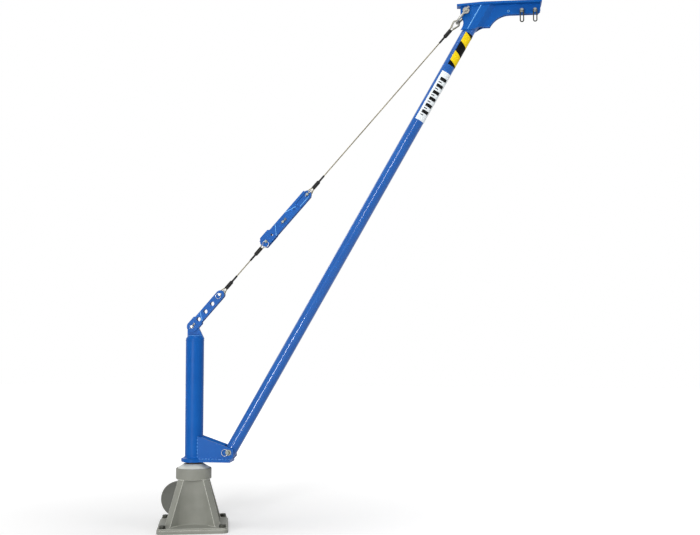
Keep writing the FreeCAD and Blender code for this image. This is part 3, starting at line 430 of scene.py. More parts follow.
# A duller, darker zinc; on the setting pin and its cotter the darkness is also painted shade of the hole
# they sit in.
DULL_ZINC_AND_PAINTED_SHADE = make_finish(
    "dull zinc and painted shade", paint(96, 100, 94), paint(124, 127, 119), (0.36, 0.48), metal=0.7, edge_radius=0.0008,
    edge_highlight=paint(176, 178, 170), edge_share=0.6,
)
ROPE = make_finish(
    "wire rope steel", paint(116, 110, 89), paint(150, 143, 120), (0.36, 0.52), metal=0.8, fine=1600.0,
    edge_radius=0.0002,
)
SLEEVE = make_finish(
    "black shrink sleeve", paint(14, 14, 13), paint(22, 22, 21), (0.42, 0.55), fine=500.0, bump=0.2,
    edge_radius=0.0008, specular=0.2,
)
DARK_STEEL = make_finish(
    "dark steel", paint(44, 45, 41), paint(66, 67, 60), (0.40, 0.52), metal=0.5, edge_radius=0.0008,
    edge_highlight=paint(118, 118, 108), edge_share=0.5, specular=0.3,
)
METAL_FINISHES = (ZINC, RING_ZINC, DULL_ZINC_AND_PAINTED_SHADE, ROPE, SLEEVE, DARK_STEEL)
print("metal and sleeve finishes:", ", ".join(finish.name for finish in METAL_FINISHES))

# %% Finishes onto the solids
FINISH_OF_SLOT = {
    "pedestal_grey": PEDESTAL_GREY, "cap_grey": CAP_GREY, "bearing_bronze": BRONZE, "turned_steel": TURNED,
    "blue_paint": BLUE, "rope_steel": ROPE, "sleeve_black": SLEEVE, "zinc_steel": ZINC,
}
for node in frame["nodes"].values():
    for place in node.material_slots:
        place.material = FINISH_OF_SLOT[place.material.name]
# The setting pin and its cotter take the duller zinc partly as painted shade, so that they read as the dark
# inside of their hole.
OWN_FINISH = {
    "jib_tube": GLOSS, "jib_pivot_pin": DULL_ZINC_AND_PAINTED_SHADE, "jib_pivot_washer": DULL_ZINC_AND_PAINTED_SHADE, "setting_pin": DULL_ZINC_AND_PAINTED_SHADE,
    "setting_cotter": DULL_ZINC_AND_PAINTED_SHADE, "adjuster_lower_pin": DULL_ZINC_AND_PAINTED_SHADE, "adjuster_upper_pin": DULL_ZINC_AND_PAINTED_SHADE,
}
for name, finish in OWN_FINISH.items():
    frame["nodes"][name].material_slots[0].material = finish
print("finishes by slot:", len(FINISH_OF_SLOT), "and by node:", len(OWN_FINISH))

# %% [markdown]
# ## The tie's own directions
# The tie runs straight from the mast's lug to the head. Places on it are given as the distance from
# the lug's pin, the height above its line and the side, and one function turns them into the frame.

# %% Places on the tie
LINK_PIN = np.array([-11.5, 0.0, 982.0]) * MM
ALONG_TIE = np.array([0.662764, 0.0, 0.748829])
OVER_TIE = np.array([-0.748829, 0.0, 0.662764])


def on_tie(s, n=0.0, y=0.0):
    """Distance along, height over and side of the tie, in millimetres, as points in metres."""
    s, n, y = np.broadcast_arrays(*[np.asarray(v, float) for v in (s, n, y)])
    return LINK_PIN + MM * (s[..., None] * ALONG_TIE + n[..., None] * OVER_TIE + y[..., None] * ACROSS)


print("tie rises by", round(math.degrees(math.atan2(ALONG_TIE[2], ALONG_TIE[0])), 1), "degrees")

# %% [markdown]
# ## Wire ropes
# Each rope is one length: it starts inside a sleeve, goes round a thimble, back through the sleeve,
# straight to the other end and round again. Its line is a NURBS spline; the corners of its control
# points round an eye lie outside the bend, because such a spline touches the middle of each edge.
# Six strands are then laid round a core, each strand's middle turning once in a lay. A slanting bump on a
# plain bar would do from far off, but real strands also give the rope its knobbly outline.

# %% The ropes' routes
LEG_START = 46.0
LEG_OFFSET = 3.2
EYE_CORNER_ANGLES = (99.75, 153.25, 206.75, 260.25)
EYE_CORNER_RADIUS = 18.48
LEG_CORNER = (12.77, 13.35)
TO_AXIS = ((52.0, -2.4), (82.0, 0.0), (112.0, 0.0))


def eye_route():
    """Control points of one eye from the rope's hidden end to its straight run, as s and n from the pin."""
    angle = np.radians(EYE_CORNER_ANGLES)
    bend = EYE_CORNER_RADIUS * np.column_stack([np.cos(angle), np.sin(angle)])
    first = [(LEG_START, LEG_OFFSET), LEG_CORNER]
    last = [(LEG_CORNER[0], -LEG_CORNER[1]), (LEG_START, -LEG_OFFSET), *TO_AXIS]
    return np.concatenate([first, bend, last])


def rope_route(low, high):
    """Both eyes and the run between them: the second eye is the first one turned about the tie's side."""
    near = eye_route()
    far = near[::-1]
    return np.concatenate([
        on_tie(low + near[:, 0], near[:, 1]),
        on_tie(high - far[:, 0], -far[:, 1]),
    ])


def spline_line(name, route):
    """The smooth line of a route: points read from its NURBS spline."""
    curve = bpy.data.curves.new(name, "CURVE")
    curve.dimensions = "3D"
    curve.resolution_u = 48
    spline = curve.splines.new("NURBS")
    spline.points.add(len(route) - 1)
    spline.points.foreach_set("co", np.column_stack([route, np.ones(len(route))]).ravel())
    spline.order_u = 3
    spline.use_endpoint_u = True
    holder = bpy.data.objects.new(name, curve)
    mesh = bpy.data.meshes.new_from_object(holder)
    line = np.empty(3 * len(mesh.vertices))
    mesh.vertices.foreach_get("co", line)
    bpy.data.objects.remove(holder)
    bpy.data.curves.remove(curve)
    bpy.data.meshes.remove(mesh)
    return line.reshape(-1, 3)


print("control points of one eye:", len(eye_route()))

# %% Strands laid round a core
STRANDS = 6
STRAND_RADIUS = 0.98 * MM
STRAND_CIRCLE = 2.0 * MM
CORE_RADIUS = 1.2 * MM
LAY = 39.0 * MM
ROPE_STEP = 2.2 * MM


def wire_rope(line):
    """Strands of a rope: the line plus a small circle that turns with the distance along it."""
    distance = distances(line)
    even = np.linspace(0.0, distance[-1], int(distance[-1] / ROPE_STEP))
    path = np.column_stack([np.interp(even, distance, line[:, k]) for k in range(3)])
    ahead = unit(np.gradient(path, axis=0))
    over = np.cross(ahead, ACROSS)
    strands = [shell(sweep(circle(CORE_RADIUS, 8), path, ACROSS))]
    for turn in np.arange(STRANDS) / STRANDS:
        angle = 2.0 * np.pi * (even / LAY + turn)[:, None]
        outward = np.cos(angle) * ACROSS + np.sin(angle) * over
        strands.append(shell(sweep(circle(STRAND_RADIUS, 8), path + STRAND_CIRCLE * outward, outward)))
    return strands, path, distance[-1]


print("strands:", STRANDS, "with one turn in", LAY / MM, "mm")

# %% Both ropes
ROPES = {
    "lower": {"body": "lower_tie", "low": 211.0, "high": 559.0},
    "upper": {"body": "upper_tie", "low": 866.0, "high": 1973.086},
}
for rope_name, rope in ROPES.items():
    route = rope_route(rope["low"], rope["high"])
    strands, path, length = wire_rope(spline_line(f"{rope_name}_route", route))
    piece = make_piece(
        f"{rope_name}_wire_rope", strands, ROPE, rope["body"], [f"{rope_name}_rope"],
        sharp=60.0,
    )

# %% [markdown]
# ## Thimbles
# A thimble is a strip pressed into a groove and bent into a drop, so that the rope isn't crushed on
# the pin. The groove's section is carried along the drop: a circle round the pin with two straight
# legs that meet at the point. A turned ring would be simpler but has no point, and the point is what
# tells a thimble from a plain eye.

# %% Grooved thimbles
THIMBLE_BORE = 11.5
THIMBLE_APEX = 30.5
LEG_REACH = 0.93
GROOVE = np.array([
    (-3.2, 0.0), (3.2, 0.0), (4.3, 0.7), (4.9, 2.2), (5.0, 4.2), (4.7, 4.8), (4.2, 4.5), (3.7, 3.1),
    (2.6, 2.1), (1.2, 1.75), (-1.2, 1.75), (-2.6, 2.1), (-3.7, 3.1), (-4.2, 4.5), (-4.7, 4.8), (-5.0, 4.2),
    (-4.9, 2.2), (-4.3, 0.7),
]) * MM


def drop_path(count=64, leg_count=10):
    """The drop's line as s and n: a leg from the point, the bend round the far side, and a leg back."""
    touch = math.acos(THIMBLE_BORE / THIMBLE_APEX)
    angle = np.linspace(-touch, touch - 2.0 * np.pi, count)
    bend = THIMBLE_BORE * np.column_stack([np.cos(angle), np.sin(angle)])
    share = np.linspace(LEG_REACH, 0.0, leg_count, endpoint=False)[:, None]
    point = np.array([THIMBLE_APEX, 0.0])
    first = bend[0] + share * (point - bend[0])
    return np.concatenate([first, bend, first[::-1] * (1.0, -1.0)])


def thimble(s, way):
    """The groove carried along the drop, whose point looks along way."""
    drop = drop_path()[::way]
    return shell(sweep(GROOVE, on_tie(s + way * drop[:, 0], drop[:, 1]), ACROSS))


print("thimble:", len(GROOVE), "points round its groove,", len(drop_path()), "along its drop")

# %% [markdown]
# ## Ferrules under shrink sleeve
# The rope's end and its run are pressed together in a ferrule, and a black sleeve is shrunk over it
# and down onto the rope. Its profile is turned about the tie: a full body with soft shoulders, a
# neck, and a slim tail that ends in a small rounded lip. Two cylinders with a bevel come close, but the
# neck between them is one soft curve.

# %% Sleeve profile
SLEEVE_PROFILE = np.concatenate([
    [(2.6, 40.0)],
    corner((7.3, 42.2), 2.2, -90.0, 0.0),
    [(9.5, 60.0)],
    corner((6.9, 82.2), 2.6, 0.0, 58.0),
    corner((8.6, 89.6), 3.6, 238.0, 180.0, 5),
    [(4.85, 99.0), (4.75, 120.0)],
    corner((4.0, 123.2), 0.8, 0.0, 90.0, 4),
    [(2.6, 124.0)],
])


def sleeve(s, way):
    """The profile turned about the tie, from the pin at s along way."""
    return shell(lathe(SLEEVE_PROFILE * MM, on_tie(s), way * ALONG_TIE, ACROSS, 48))


# %% Thimble and sleeve at each eye
for rope_name, rope in ROPES.items():
    for end, way in (("low", 1), ("high", -1)):
        make_piece(
            f"{rope_name}_thimble_{end}", [thimble(rope[end], way)], ZINC, rope["body"],
            [f"{rope_name}_rope_thimble_{end}"], sharp=50.0,
        )
        make_piece(
            f"{rope_name}_sleeve_{end}", [sleeve(rope[end], way)], SLEEVE, rope["body"],
            [f"{rope_name}_rope_sleeve_{end}"], sharp=50.0,
        )

# %% [markdown]
# ## Split rings
# A split ring is a wire wound twice on itself. Its middle line is a circle gone round twice, which
# steps over by one wire thickness half way, so the two turns lie side by side. Two plain rings would look
# alike from afar, but the step is seen on the real ring.

# %% Two-turn rings
WIRE_START, WIRE_END = 0.01, 1.99
STEP_START, STEP_RUN = 0.86, 0.28


def split_ring(node, wire=0.9 * MM, count=220):
    """A circle as large as the solid ring, gone round twice, with a smooth step from side to side."""
    low, high = (np.array(c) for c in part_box(node))
    middle = (low + high) / 2.0
    radius = (high[0] - low[0]) / 2.0 - 2.0 * wire
    turn = np.linspace(WIRE_START, WIRE_END, count)
    step = np.clip((turn - STEP_START) / STEP_RUN, 0.0, 1.0)
    side = wire * (2.0 * smooth_step(step) - 1.0)
    angle = 2.0 * np.pi * turn
    outward = np.column_stack([np.cos(angle), np.zeros(count), np.sin(angle)])
    path = middle + radius * outward + side[:, None] * ACROSS
    return shell(sweep(circle(wire, 10), path, outward))


for node, body in (
    ("jib_pivot_ring", "pivot_ring"), ("link_ring", "link_pin_ring"), ("adjuster_ring", "adjuster_pin_ring")
):
    make_piece(f"{node}_coil", [split_ring(node)], RING_ZINC, body, [node])

# %% [markdown]
# ## Pull rings
# Each hoist pin has a long ring to pull it by. Its wire is thin where it lies in the pin's hole and
# thicker below, so the section carried round the loop grows with the depth. It grows to the inside, which
# keeps the loop's outline. A curve with a round bevel is quicker, but has one thickness all round.

# %% Long loops on the hoist pins
PULL_BEND, GRIP_START, GRIP_RUN, GRIP_GROWTH = 4.0 * MM, 8.0 * MM, 8.0 * MM, 0.6


def pull_ring(node, count=180):
    """A half circle below, straight sides and small corners above, with points at even steps round the
    loop; the wire's radius rises by a smooth step from the solid ring's own, and its middle moves in."""
    low, high = (np.array(c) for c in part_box(node))
    wire = (high[1] - low[1]) / 2.0
    half, top, bottom = (high[0] - low[0]) / 2.0 - wire, high[2] - wire, low[2] + wire
    loop = np.concatenate([
        corner((half - PULL_BEND, top - PULL_BEND), PULL_BEND, 90.0, 0.0),
        corner((0.0, bottom + half), half, 0.0, -180.0, 40),
        corner((PULL_BEND - half, top - PULL_BEND), PULL_BEND, 180.0, 90.0),
    ])
    loop = np.vstack([loop, loop[:1]])
    distance = distances(loop)
    even = np.linspace(0.0, distance[-1], count, endpoint=False)
    along, height = (np.interp(even, distance, loop[:, axis]) for axis in (0, 1))
    share = np.clip((top - GRIP_START - height) / GRIP_RUN, 0.0, 1.0)
    growth = wire * GRIP_GROWTH * smooth_step(share)
    outward = unit(np.column_stack([along, np.zeros(count), np.minimum(height - bottom - half, 0.0)]))
    middle = (low + high) / 2.0
    path = np.column_stack([middle[0] + along, np.full(count, middle[1]), height])
    path -= growth[:, None] * outward
    radius = wire + growth
    return shell(sweep(radius[:, None, None] * circle(1.0, 12), path, ACROSS, True), wrap_rows=True)


for place in ("rear", "front"):
    make_piece(
        f"{place}_pull_loop", [pull_ring(f"hoist_ring_{place}")], DARK_STEEL, f"{place}_pull_ring",
        [f"hoist_ring_{place}"], sharp=60.0,
    )

# %% [markdown]
# ## The ribbed casting
# The pedestal is a casting: four broad ribs run down its diagonals from a collar to a stepped square
# base. One grid covers it all. Every row is an outline at one height, and every column keeps its place
# on a rib or on the hollow between two ribs, so that the grid's lines follow the ribs' edges. Joining four
# ribs to a tube by Booleans would need less thought, but leaves ragged seams where the fillets should be.

# %% Outlines of the casting
PEDESTAL_TURN = math.radians(14.0)
RIB_HALF = 19.0
FLAT_SHARES = np.linspace(0.0, 1.0, 10)
CROWDING = 1.6
HOLLOW_SHARES = np.linspace(0.0, 1.0, 22)[1:] ** CROWDING


def column_angles(edge):
    """Angles from a rib's middle to the next side's middle: across the flat, then along the hollow, where
    a power of the share crowds them towards the rib."""
    return np.concatenate([FLAT_SHARES * edge, edge + HOLLOW_SHARES * (np.pi / 4.0 - edge)])


def all_round(half_radius, half_angle):
    """Mirror half a rib to a whole one and repeat it four times; gives points in the plane."""
    radius = np.concatenate([half_radius[:0:-1], half_radius[:-1]])
    angle = np.concatenate([-half_angle[:0:-1], half_angle[:-1]])
    turns = np.pi / 4.0 + np.arange(4)[:, None] * np.pi / 2.0 + PEDESTAL_TURN
    return np.stack([radius * np.cos(turns + angle), radius * np.sin(turns + angle)], -1).reshape(-1, 2)


def rib_outline(rib, web):
    """Half of a ribbed outline: a flat at distance rib, then an arc down to distance web.
    The arc's centre lies on the side's middle line, as far out as passes through the rib's edge."""
    edge = math.atan2(RIB_HALF, rib)
    edge_radius = math.hypot(rib, RIB_HALF)
    out = (edge_radius ** 2 - web ** 2) / (2.0 * (edge_radius * math.cos(np.pi / 4.0 - edge) - web))
    angle = column_angles(edge)
    from_side = np.pi / 4.0 - angle
    inside = np.maximum((out - web) ** 2 - (out * np.sin(from_side)) ** 2, 0.0)
    radius = np.where(angle <= edge + 1e-9, rib / np.cos(angle), out * np.cos(from_side) - np.sqrt(inside))
    return radius, angle


def square_outline(half, round_corner, angle):
    """Half of a rounded square's outline at angles from its corner: the corner's arc, then the side."""
    far = math.sqrt(2.0) * (half - round_corner)
    turn = np.pi / 4.0 - math.atan2(half - round_corner, half)
    arc = far * np.cos(angle) + np.sqrt(np.maximum(round_corner ** 2 - (far * np.sin(angle)) ** 2, 0.0))
    return np.where(angle <= turn, arc, half / np.cos(np.pi / 4.0 - angle))


print("columns round the casting:", 8 * (len(FLAT_SHARES) + len(HOLLOW_SHARES) - 1))

# %% Sizes of the casting
BASE_HALF, BASE_CORNER, BASE_TOP = 169.0, 28.0, 17.0
STEP_INSET, STEP_TOP = 7.0, 26.0
BODY_TOP, COLLAR_TOP, COLLAR_RADIUS, COLLAR_ROUND = 240.0, 292.5, 86.5, 6.0
SOCKET_RADIUS, SOCKET_FLOOR = 36.05, 44.0
BOSS_TOP = 312.5
BOSS = ((79.4, 292.5), (77.0, 293.2), (74.6, 294.7), (49.6, 310.8), (48.2, 311.9), (46.6, BOSS_TOP))
FOOT_FILLET, NECK_FILLET, EDGE_ROUND, EDGE_CHAMFER = 7.0, 14.0, 1.6, 1.2
RIB_FOOT, RIB_HEAD, WEB_FOOT, WEB_HEAD = 169.0, 86.0, 66.0, 60.0
print("casting from the floor to", BOSS_TOP, "mm")


# %% Rows of the base
def base_rows():
    """Two square steps as rings and heights: a quarter circle at each edge takes the outline in by as much
    as it leaves of the edge's radius."""
    edge = EDGE_ROUND - corner((0.0, 0.0), EDGE_ROUND, 0.0, 90.0, 5)
    places = [(rise, in_by) for in_by, rise in edge[::-1]]
    places += [(BASE_TOP - fall, in_by) for in_by, fall in edge]
    places += [(BASE_TOP, STEP_INSET)]
    places += [(STEP_TOP - fall, STEP_INSET + in_by) for in_by, fall in edge]
    angle = rib_outline(RIB_FOOT, WEB_FOOT)[1]
    rows = []
    for height, in_by in places:
        outline = square_outline(BASE_HALF - in_by, BASE_CORNER - in_by, angle)
        rows.append((all_round(outline, angle), height))
    return rows


# %% Rows of the ribs
def rib_rows():
    """The ribbed body as rings and heights: rib and web draw in evenly with the height, a quarter circle
    flares the foot, and another fills the hollows under the collar as far as there is room."""
    foot_rise = np.radians(np.linspace(0.0, 90.0, 6))
    neck_rise = np.radians(np.linspace(90.0, 0.0, 7))
    middle = np.linspace(STEP_TOP + FOOT_FILLET, BODY_TOP - NECK_FILLET, 26)[1:-1]
    heights = np.concatenate([
        STEP_TOP + FOOT_FILLET * (1.0 - np.cos(foot_rise)),
        middle,
        BODY_TOP - NECK_FILLET * (1.0 - np.cos(neck_rise)),
    ])
    flare = np.zeros(len(heights))
    flare[:len(foot_rise)] = FOOT_FILLET * (1.0 - np.sin(foot_rise))
    neck = np.zeros(len(heights))
    neck[-len(neck_rise):] = NECK_FILLET * (1.0 - np.sin(neck_rise))
    rows = []
    for height, out_by, neck_by in zip(heights, flare, neck):
        share = (height - STEP_TOP) / (BODY_TOP - STEP_TOP)
        rib = RIB_FOOT + share * (RIB_HEAD - RIB_FOOT)
        web = WEB_FOOT + share * (WEB_HEAD - WEB_FOOT)
        radius, angle = rib_outline(rib, web)
        room = np.clip((COLLAR_RADIUS - radius) / NECK_FILLET, 0.0, 1.0)
        rows.append((all_round(radius + out_by + neck_by * room, angle), height))
    return rows


# %% Rows of the collar and the whole casting
def collar_rows():
    """Circles of the collar, its cone and the socket as rings and heights, in the ribs' own columns."""
    angle = rib_outline(RIB_HEAD, WEB_HEAD)[1]
    profile = np.concatenate([
        [(COLLAR_RADIUS - EDGE_CHAMFER, BODY_TOP), (COLLAR_RADIUS, BODY_TOP + EDGE_CHAMFER)],
        corner((COLLAR_RADIUS - COLLAR_ROUND, COLLAR_TOP - COLLAR_ROUND), COLLAR_ROUND, 0.0, 90.0, 8),
        BOSS,
        [(SOCKET_RADIUS + EDGE_CHAMFER, BOSS_TOP), (SOCKET_RADIUS, BOSS_TOP - EDGE_CHAMFER)],
        [(SOCKET_RADIUS, SOCKET_FLOOR)],
    ])
    return [(all_round(np.full(angle.shape, radius), angle), height) for radius, height in profile]


casting = np.stack([
    np.column_stack([ring, np.full(len(ring), height)])
    for ring, height in base_rows() + rib_rows() + collar_rows()
])
pedestal = make_piece(
    "ribbed_casting", [shell(casting * MM)], PEDESTAL_GREY, "pedestal", ["pedestal"]
)

# %% [markdown]
# ### The collar's cone highlight
# The cone on top of the collar is painted a near-white grey, a painted highlight for the light on its top.
# A thin skin follows it: the cone's own profile a little further out, and back a little further in. A second
# material on the casting's faces would do too, but the skin leaves the casting in one finish.

# %% Skin over the cone
SKIN = (0.1, 0.35)
cone = np.array(BOSS)[:-1]
cone_highlight_profile = np.concatenate([cone + SKIN, cone[::-1] - SKIN])
cone_grid = lathe(cone_highlight_profile * MM, np.zeros(3), UP, FORE, 96)
# Painted highlight: the skin's near-white grey stands for the light on the cone's top.
make_piece("cone_highlight_skin", [shell(cone_grid, wrap_rows=True)], CONE_HIGHLIGHT_GREY, "pedestal")

# %% [markdown]
# ### Bolt holes
# Four holes go through the base near its corners. Drilling is a cut, and a cut is what a Boolean
# does: one cutter with four rods, each with a shallow wider disc on top for the washer's seat.

# %% Drill the base
BOLT_HALF, BOLT_RADIUS, SEAT_RADIUS, SEAT_DEPTH, DRILL_OVER = 142.5, 11.0, 19.0, 0.8, 5.0
DRILL = np.array([
    (BOLT_RADIUS, -DRILL_OVER), (BOLT_RADIUS, STEP_TOP - SEAT_DEPTH), (SEAT_RADIUS, STEP_TOP - SEAT_DEPTH),
    (SEAT_RADIUS, STEP_TOP + DRILL_OVER),
])
turn = PEDESTAL_TURN + np.radians([45.0, 135.0, 225.0, 315.0])
spots = math.sqrt(2.0) * BOLT_HALF * np.column_stack([np.cos(turn), np.sin(turn), np.zeros(4)])
drills = make_piece(
    "drills", [shell(lathe(DRILL * MM, spot * MM, UP, FORE, 48)) for spot in spots],
    PEDESTAL_GREY, "pedestal",
)
cut = pedestal.modifiers.new("bolt holes", "BOOLEAN")
cut.operation, cut.solver, cut.object = "DIFFERENCE", "EXACT", drills
drilled = bpy.data.meshes.new_from_object(pedestal.evaluated_get(bpy.context.evaluated_depsgraph_get()))
pedestal.modifiers.clear()
pedestal.data = drilled
shade(drilled)
bpy.data.objects.remove(drills)
print("drilled casting:", len(drilled.polygons), "faces")

# %% [markdown]
# ### Foundation bolts
# A bolt with a six-sided head on a washer stands in each hole. The same turning function makes both: six
# columns give the head its flats, many columns give the washer its round.

# %% Bolts and washers
WASHER = np.array([(11.2, 25.2), (17.6, 25.2), (18.2, 26.0), (18.2, 27.4), (17.6, 28.0), (11.2, 28.0)])
HEX = np.array([(0.5, 28.0), (15.6, 28.0), (16.2, 28.6), (16.2, 38.0), (14.0, 39.6), (0.5, 39.6)])
SHANK = np.array([(0.5, 1.0), (9.5, 1.0), (10.0, 2.0), (10.0, 28.0), (0.5, 28.0)])
bolts = []
for spot in spots:
    for profile, count in ((WASHER, 40), (HEX, 6), (SHANK, 32)):
        grid = lathe(profile * MM, spot * MM, UP, FORE, count)
        bolts.append(shell(grid, wrap_rows=profile is WASHER))
make_piece("foundation_bolts", bolts, DARK_STEEL, "pedestal")

# %% [markdown]
# ## The socket's cap
# The cap is a shallow cup, stood on its edge behind the casting with its closed face to the viewer. A
# profile of its wall, turned about the cup's axis, gives the face with its raised rim, the side and
# the inside in one closed skin. Solidify on a thin dish is shorter, but its wall would be even, and the
# cup's face is thicker than its side.

# %% Turned cup
CAP_CENTRE = np.array([-113.0, 0.0, 115.3]) * MM
CAP_OUT, CAP_IN, CAP_FRONT, CAP_FLOOR, CAP_BACK = 89.0, 86.8, 116.0, 122.0, 142.0
CAP_PANEL, CAP_RECESS, RIM_START = 79.0, 1.6, 3.0
RIM_ROUND, FACE_ROUND, LIP_ROUND, FLOOR_ROUND = 1.2, 3.0, 0.9, 5.0
CAP_PROFILE = np.concatenate([
    [(0.5, CAP_FRONT + CAP_RECESS), (CAP_PANEL, CAP_FRONT + CAP_RECESS)],
    corner((CAP_PANEL + RIM_START, CAP_FRONT + RIM_ROUND), RIM_ROUND, 200.0, 270.0, 4),
    corner((CAP_OUT - FACE_ROUND, CAP_FRONT + FACE_ROUND), FACE_ROUND, -90.0, 0.0),
    corner((CAP_OUT - LIP_ROUND, CAP_BACK - LIP_ROUND), LIP_ROUND, 0.0, 90.0, 4),
    corner((CAP_IN + LIP_ROUND, CAP_BACK - LIP_ROUND), LIP_ROUND, 90.0, 180.0, 4),
    corner((CAP_IN - FLOOR_ROUND, CAP_FLOOR + FLOOR_ROUND), FLOOR_ROUND, 0.0, -90.0),
    [(0.5, CAP_FLOOR)],
])
make_piece(
    "turned_cup", [shell(lathe(CAP_PROFILE * MM, CAP_CENTRE, ACROSS, FORE, 96))],
    CAP_GREY, "cap", ["socket_cap"],
)

# %% [markdown]
# ## Weld beads
# Plates meet tubes in fillet welds under the paint. A bead is an oval section carried along the
# corner, and its width swells and shrinks with the distance, as the weld pool did. The bracket's seams are
# laid as overlapping spots, with a longer and deeper swell. A bump in the paint could draw the ripples, but
# only real beads change the outline and throw a shadow.

# %% Rippled beads
RIPPLE, SPOT, SPOT_DEPTH = 4.2, 16.5, 1.9


def bead(path, side, half, closed=False, pitch=RIPPLE, depth=0.1):
    """An oval carried along a path; its size swells with the absolute sine of the distance along it."""
    swell = 1.0 + depth * (np.abs(np.sin(np.pi * distances(path) / (pitch * MM))) - 0.5)
    section = circle(half * MM, 12) * (1.0, 0.85)
    return shell(sweep(swell[:, None, None] * section, path, side, closed), wrap_rows=closed)


def straight(first, last, step=0.7 * MM):
    """Evenly spaced points on a straight corner."""
    first, last = np.asarray(first) * MM, np.asarray(last) * MM
    count = max(8, int(np.linalg.norm(last - first) / step))
    return first + np.linspace(0.0, 1.0, count)[:, None] * (last - first)


def ring_line(radius, height, count=400):
    """A circle round the mast."""
    return np.column_stack([circle(radius * MM, count), np.full(count, height * MM)])


print("ripples every", RIPPLE, "mm, weld spots every", SPOT, "mm")

# %% Beads on the mast and its bracket
BOTH_SIDES = (-1.0, 1.0)
MAST_RADIUS, FOOT_TOP, TUBE_TOP = 44.45, 337.0, 914.0
LUG_BACK, LUG_FRONT, LUG_HALF, LUG_FOOT = -35.0, 44.0, 8.2, 922.0
GUSSET_START, GUSSET_END, GUSSET_OUT = 30.0, 195.0, 41.5
SEAM_X, SEAM_Y, SEAM_FOOT, SEAM_TOP = 28.0, 38.5, 340.0, 446.0
SHOULDER_RADIUS, SHOULDER_TOP, SHOULDER_DEPTH = 34.0, 938.0, 0.8
FOOT_BEAD, TUBE_BEAD, LUG_BEAD, SHOULDER_BEAD, SPOT_BEAD = 4.0, 2.2, 3.0, 1.8, 2.6
mast_beads = [
    bead(ring_line(MAST_RADIUS + 1.0, FOOT_TOP + 1.0), UP, FOOT_BEAD, True),
    bead(ring_line(MAST_RADIUS - 0.6, TUBE_TOP), UP, TUBE_BEAD, True),
]
shoulder_line = ring_line(SHOULDER_RADIUS, SHOULDER_TOP)
spot_beads = [bead(shoulder_line, UP, SHOULDER_BEAD, True, SPOT, SHOULDER_DEPTH)]
for side in BOTH_SIDES:
    seam, foot, lug = side * SEAM_Y, side * GUSSET_OUT, side * LUG_HALF
    lug_line = straight((LUG_BACK, lug, LUG_FOOT), (LUG_FRONT, lug, LUG_FOOT))
    mast_beads.append(bead(lug_line, UP, LUG_BEAD))
    upright = straight((SEAM_X, seam, SEAM_FOOT), (SEAM_X, seam, SEAM_TOP))
    level = straight((GUSSET_START, foot, FOOT_TOP), (GUSSET_END, foot, FOOT_TOP))
    for line, across in ((upright, ACROSS), (level, UP)):
        spot_beads.append(bead(line, across, SPOT_BEAD, False, SPOT, SPOT_DEPTH))
make_piece("mast_weld_beads", mast_beads, BLUE, "mast")
# The spots are in the lighter weld blue, a painted highlight on each spot.
make_piece("bracket_weld_spots", spot_beads, WELD_HIGHLIGHT_BLUE, "mast")

# %% [markdown]
# ### Cover between the gussets
# A sheet closes the gap between the two upright plates from the mast to just short of the jib's foot. It
# slopes with their upper edges: four corners of its section, carried from one plate to the other. That is
# a box with eight points, and needs no modifier.

# %% Sloping cover
COVER_START, COVER_END, COVER_HALF = 31.0, 158.0, 31.6
COVER_TOP, COVER_FALL, COVER_THICK = 457.4, 0.3447, 5.0
cover_x = np.array([COVER_START, COVER_END, COVER_END, COVER_START])
cover_z = COVER_TOP - COVER_FALL * cover_x - COVER_THICK * np.array([0.0, 0.0, 1.0, 1.0])
cover = np.stack([np.column_stack([cover_x, np.full(4, y), cover_z]) for y in (-COVER_HALF, COVER_HALF)])
# The cover is painted a lighter, flat blue: painted light against the shade between the gussets.
make_piece("bracket_cover", [shell(cover * MM)], LIGHTENED_FLAT_BLUE, "mast")

# %% [markdown]
# ### Cones on the mast
# Weld and paint run out from the mast onto the foot plate, and from the short neck under it to the plate's
# rim, so that the plate's edge looks thin. A third cone is the shoulder round the lug's foot on the mast's
# cap. Each cone is one profile turned about the mast.

# %% Painted cones
UPPER_CONE = np.array([
    (44.5, 337.1), (61.2, 337.1), (58.0, 338.6), (50.5, 341.6), (47.0, 344.4), (45.4, 348.0), (44.5, 348.4),
])
LOWER_CONE = np.array([
    (43.05, 318.8), (46.0, 318.8), (47.6, 319.4), (57.5, 321.6), (61.2, 323.0), (43.05, 323.0),
])
SHOULDER = np.array([
    (20.0, 921.6), (44.2, 921.6), (44.2, 923.0), (40.0, 929.5), (SHOULDER_RADIUS, SHOULDER_TOP),
    (20.0, SHOULDER_TOP),
])
cones = []
for profile in (UPPER_CONE, LOWER_CONE, SHOULDER):
    cones.append(shell(lathe(profile * MM, np.zeros(3), UP, FORE, 96), wrap_rows=True))
make_piece("painted_cones", cones, BLUE, "mast")

# %% [markdown]
# ### Toes and edges on the tie
# Each doubler of the adjuster ends in a slanting toe with a bead along it. More beads mark the slanting
# line from the channel's web to its slot, the slot's lower edge, and the end of the link's wide head. Each
# line is given once by its two ends on the tie and laid on both sides. The beads are painted a light blue:
# painted highlights along these edges.

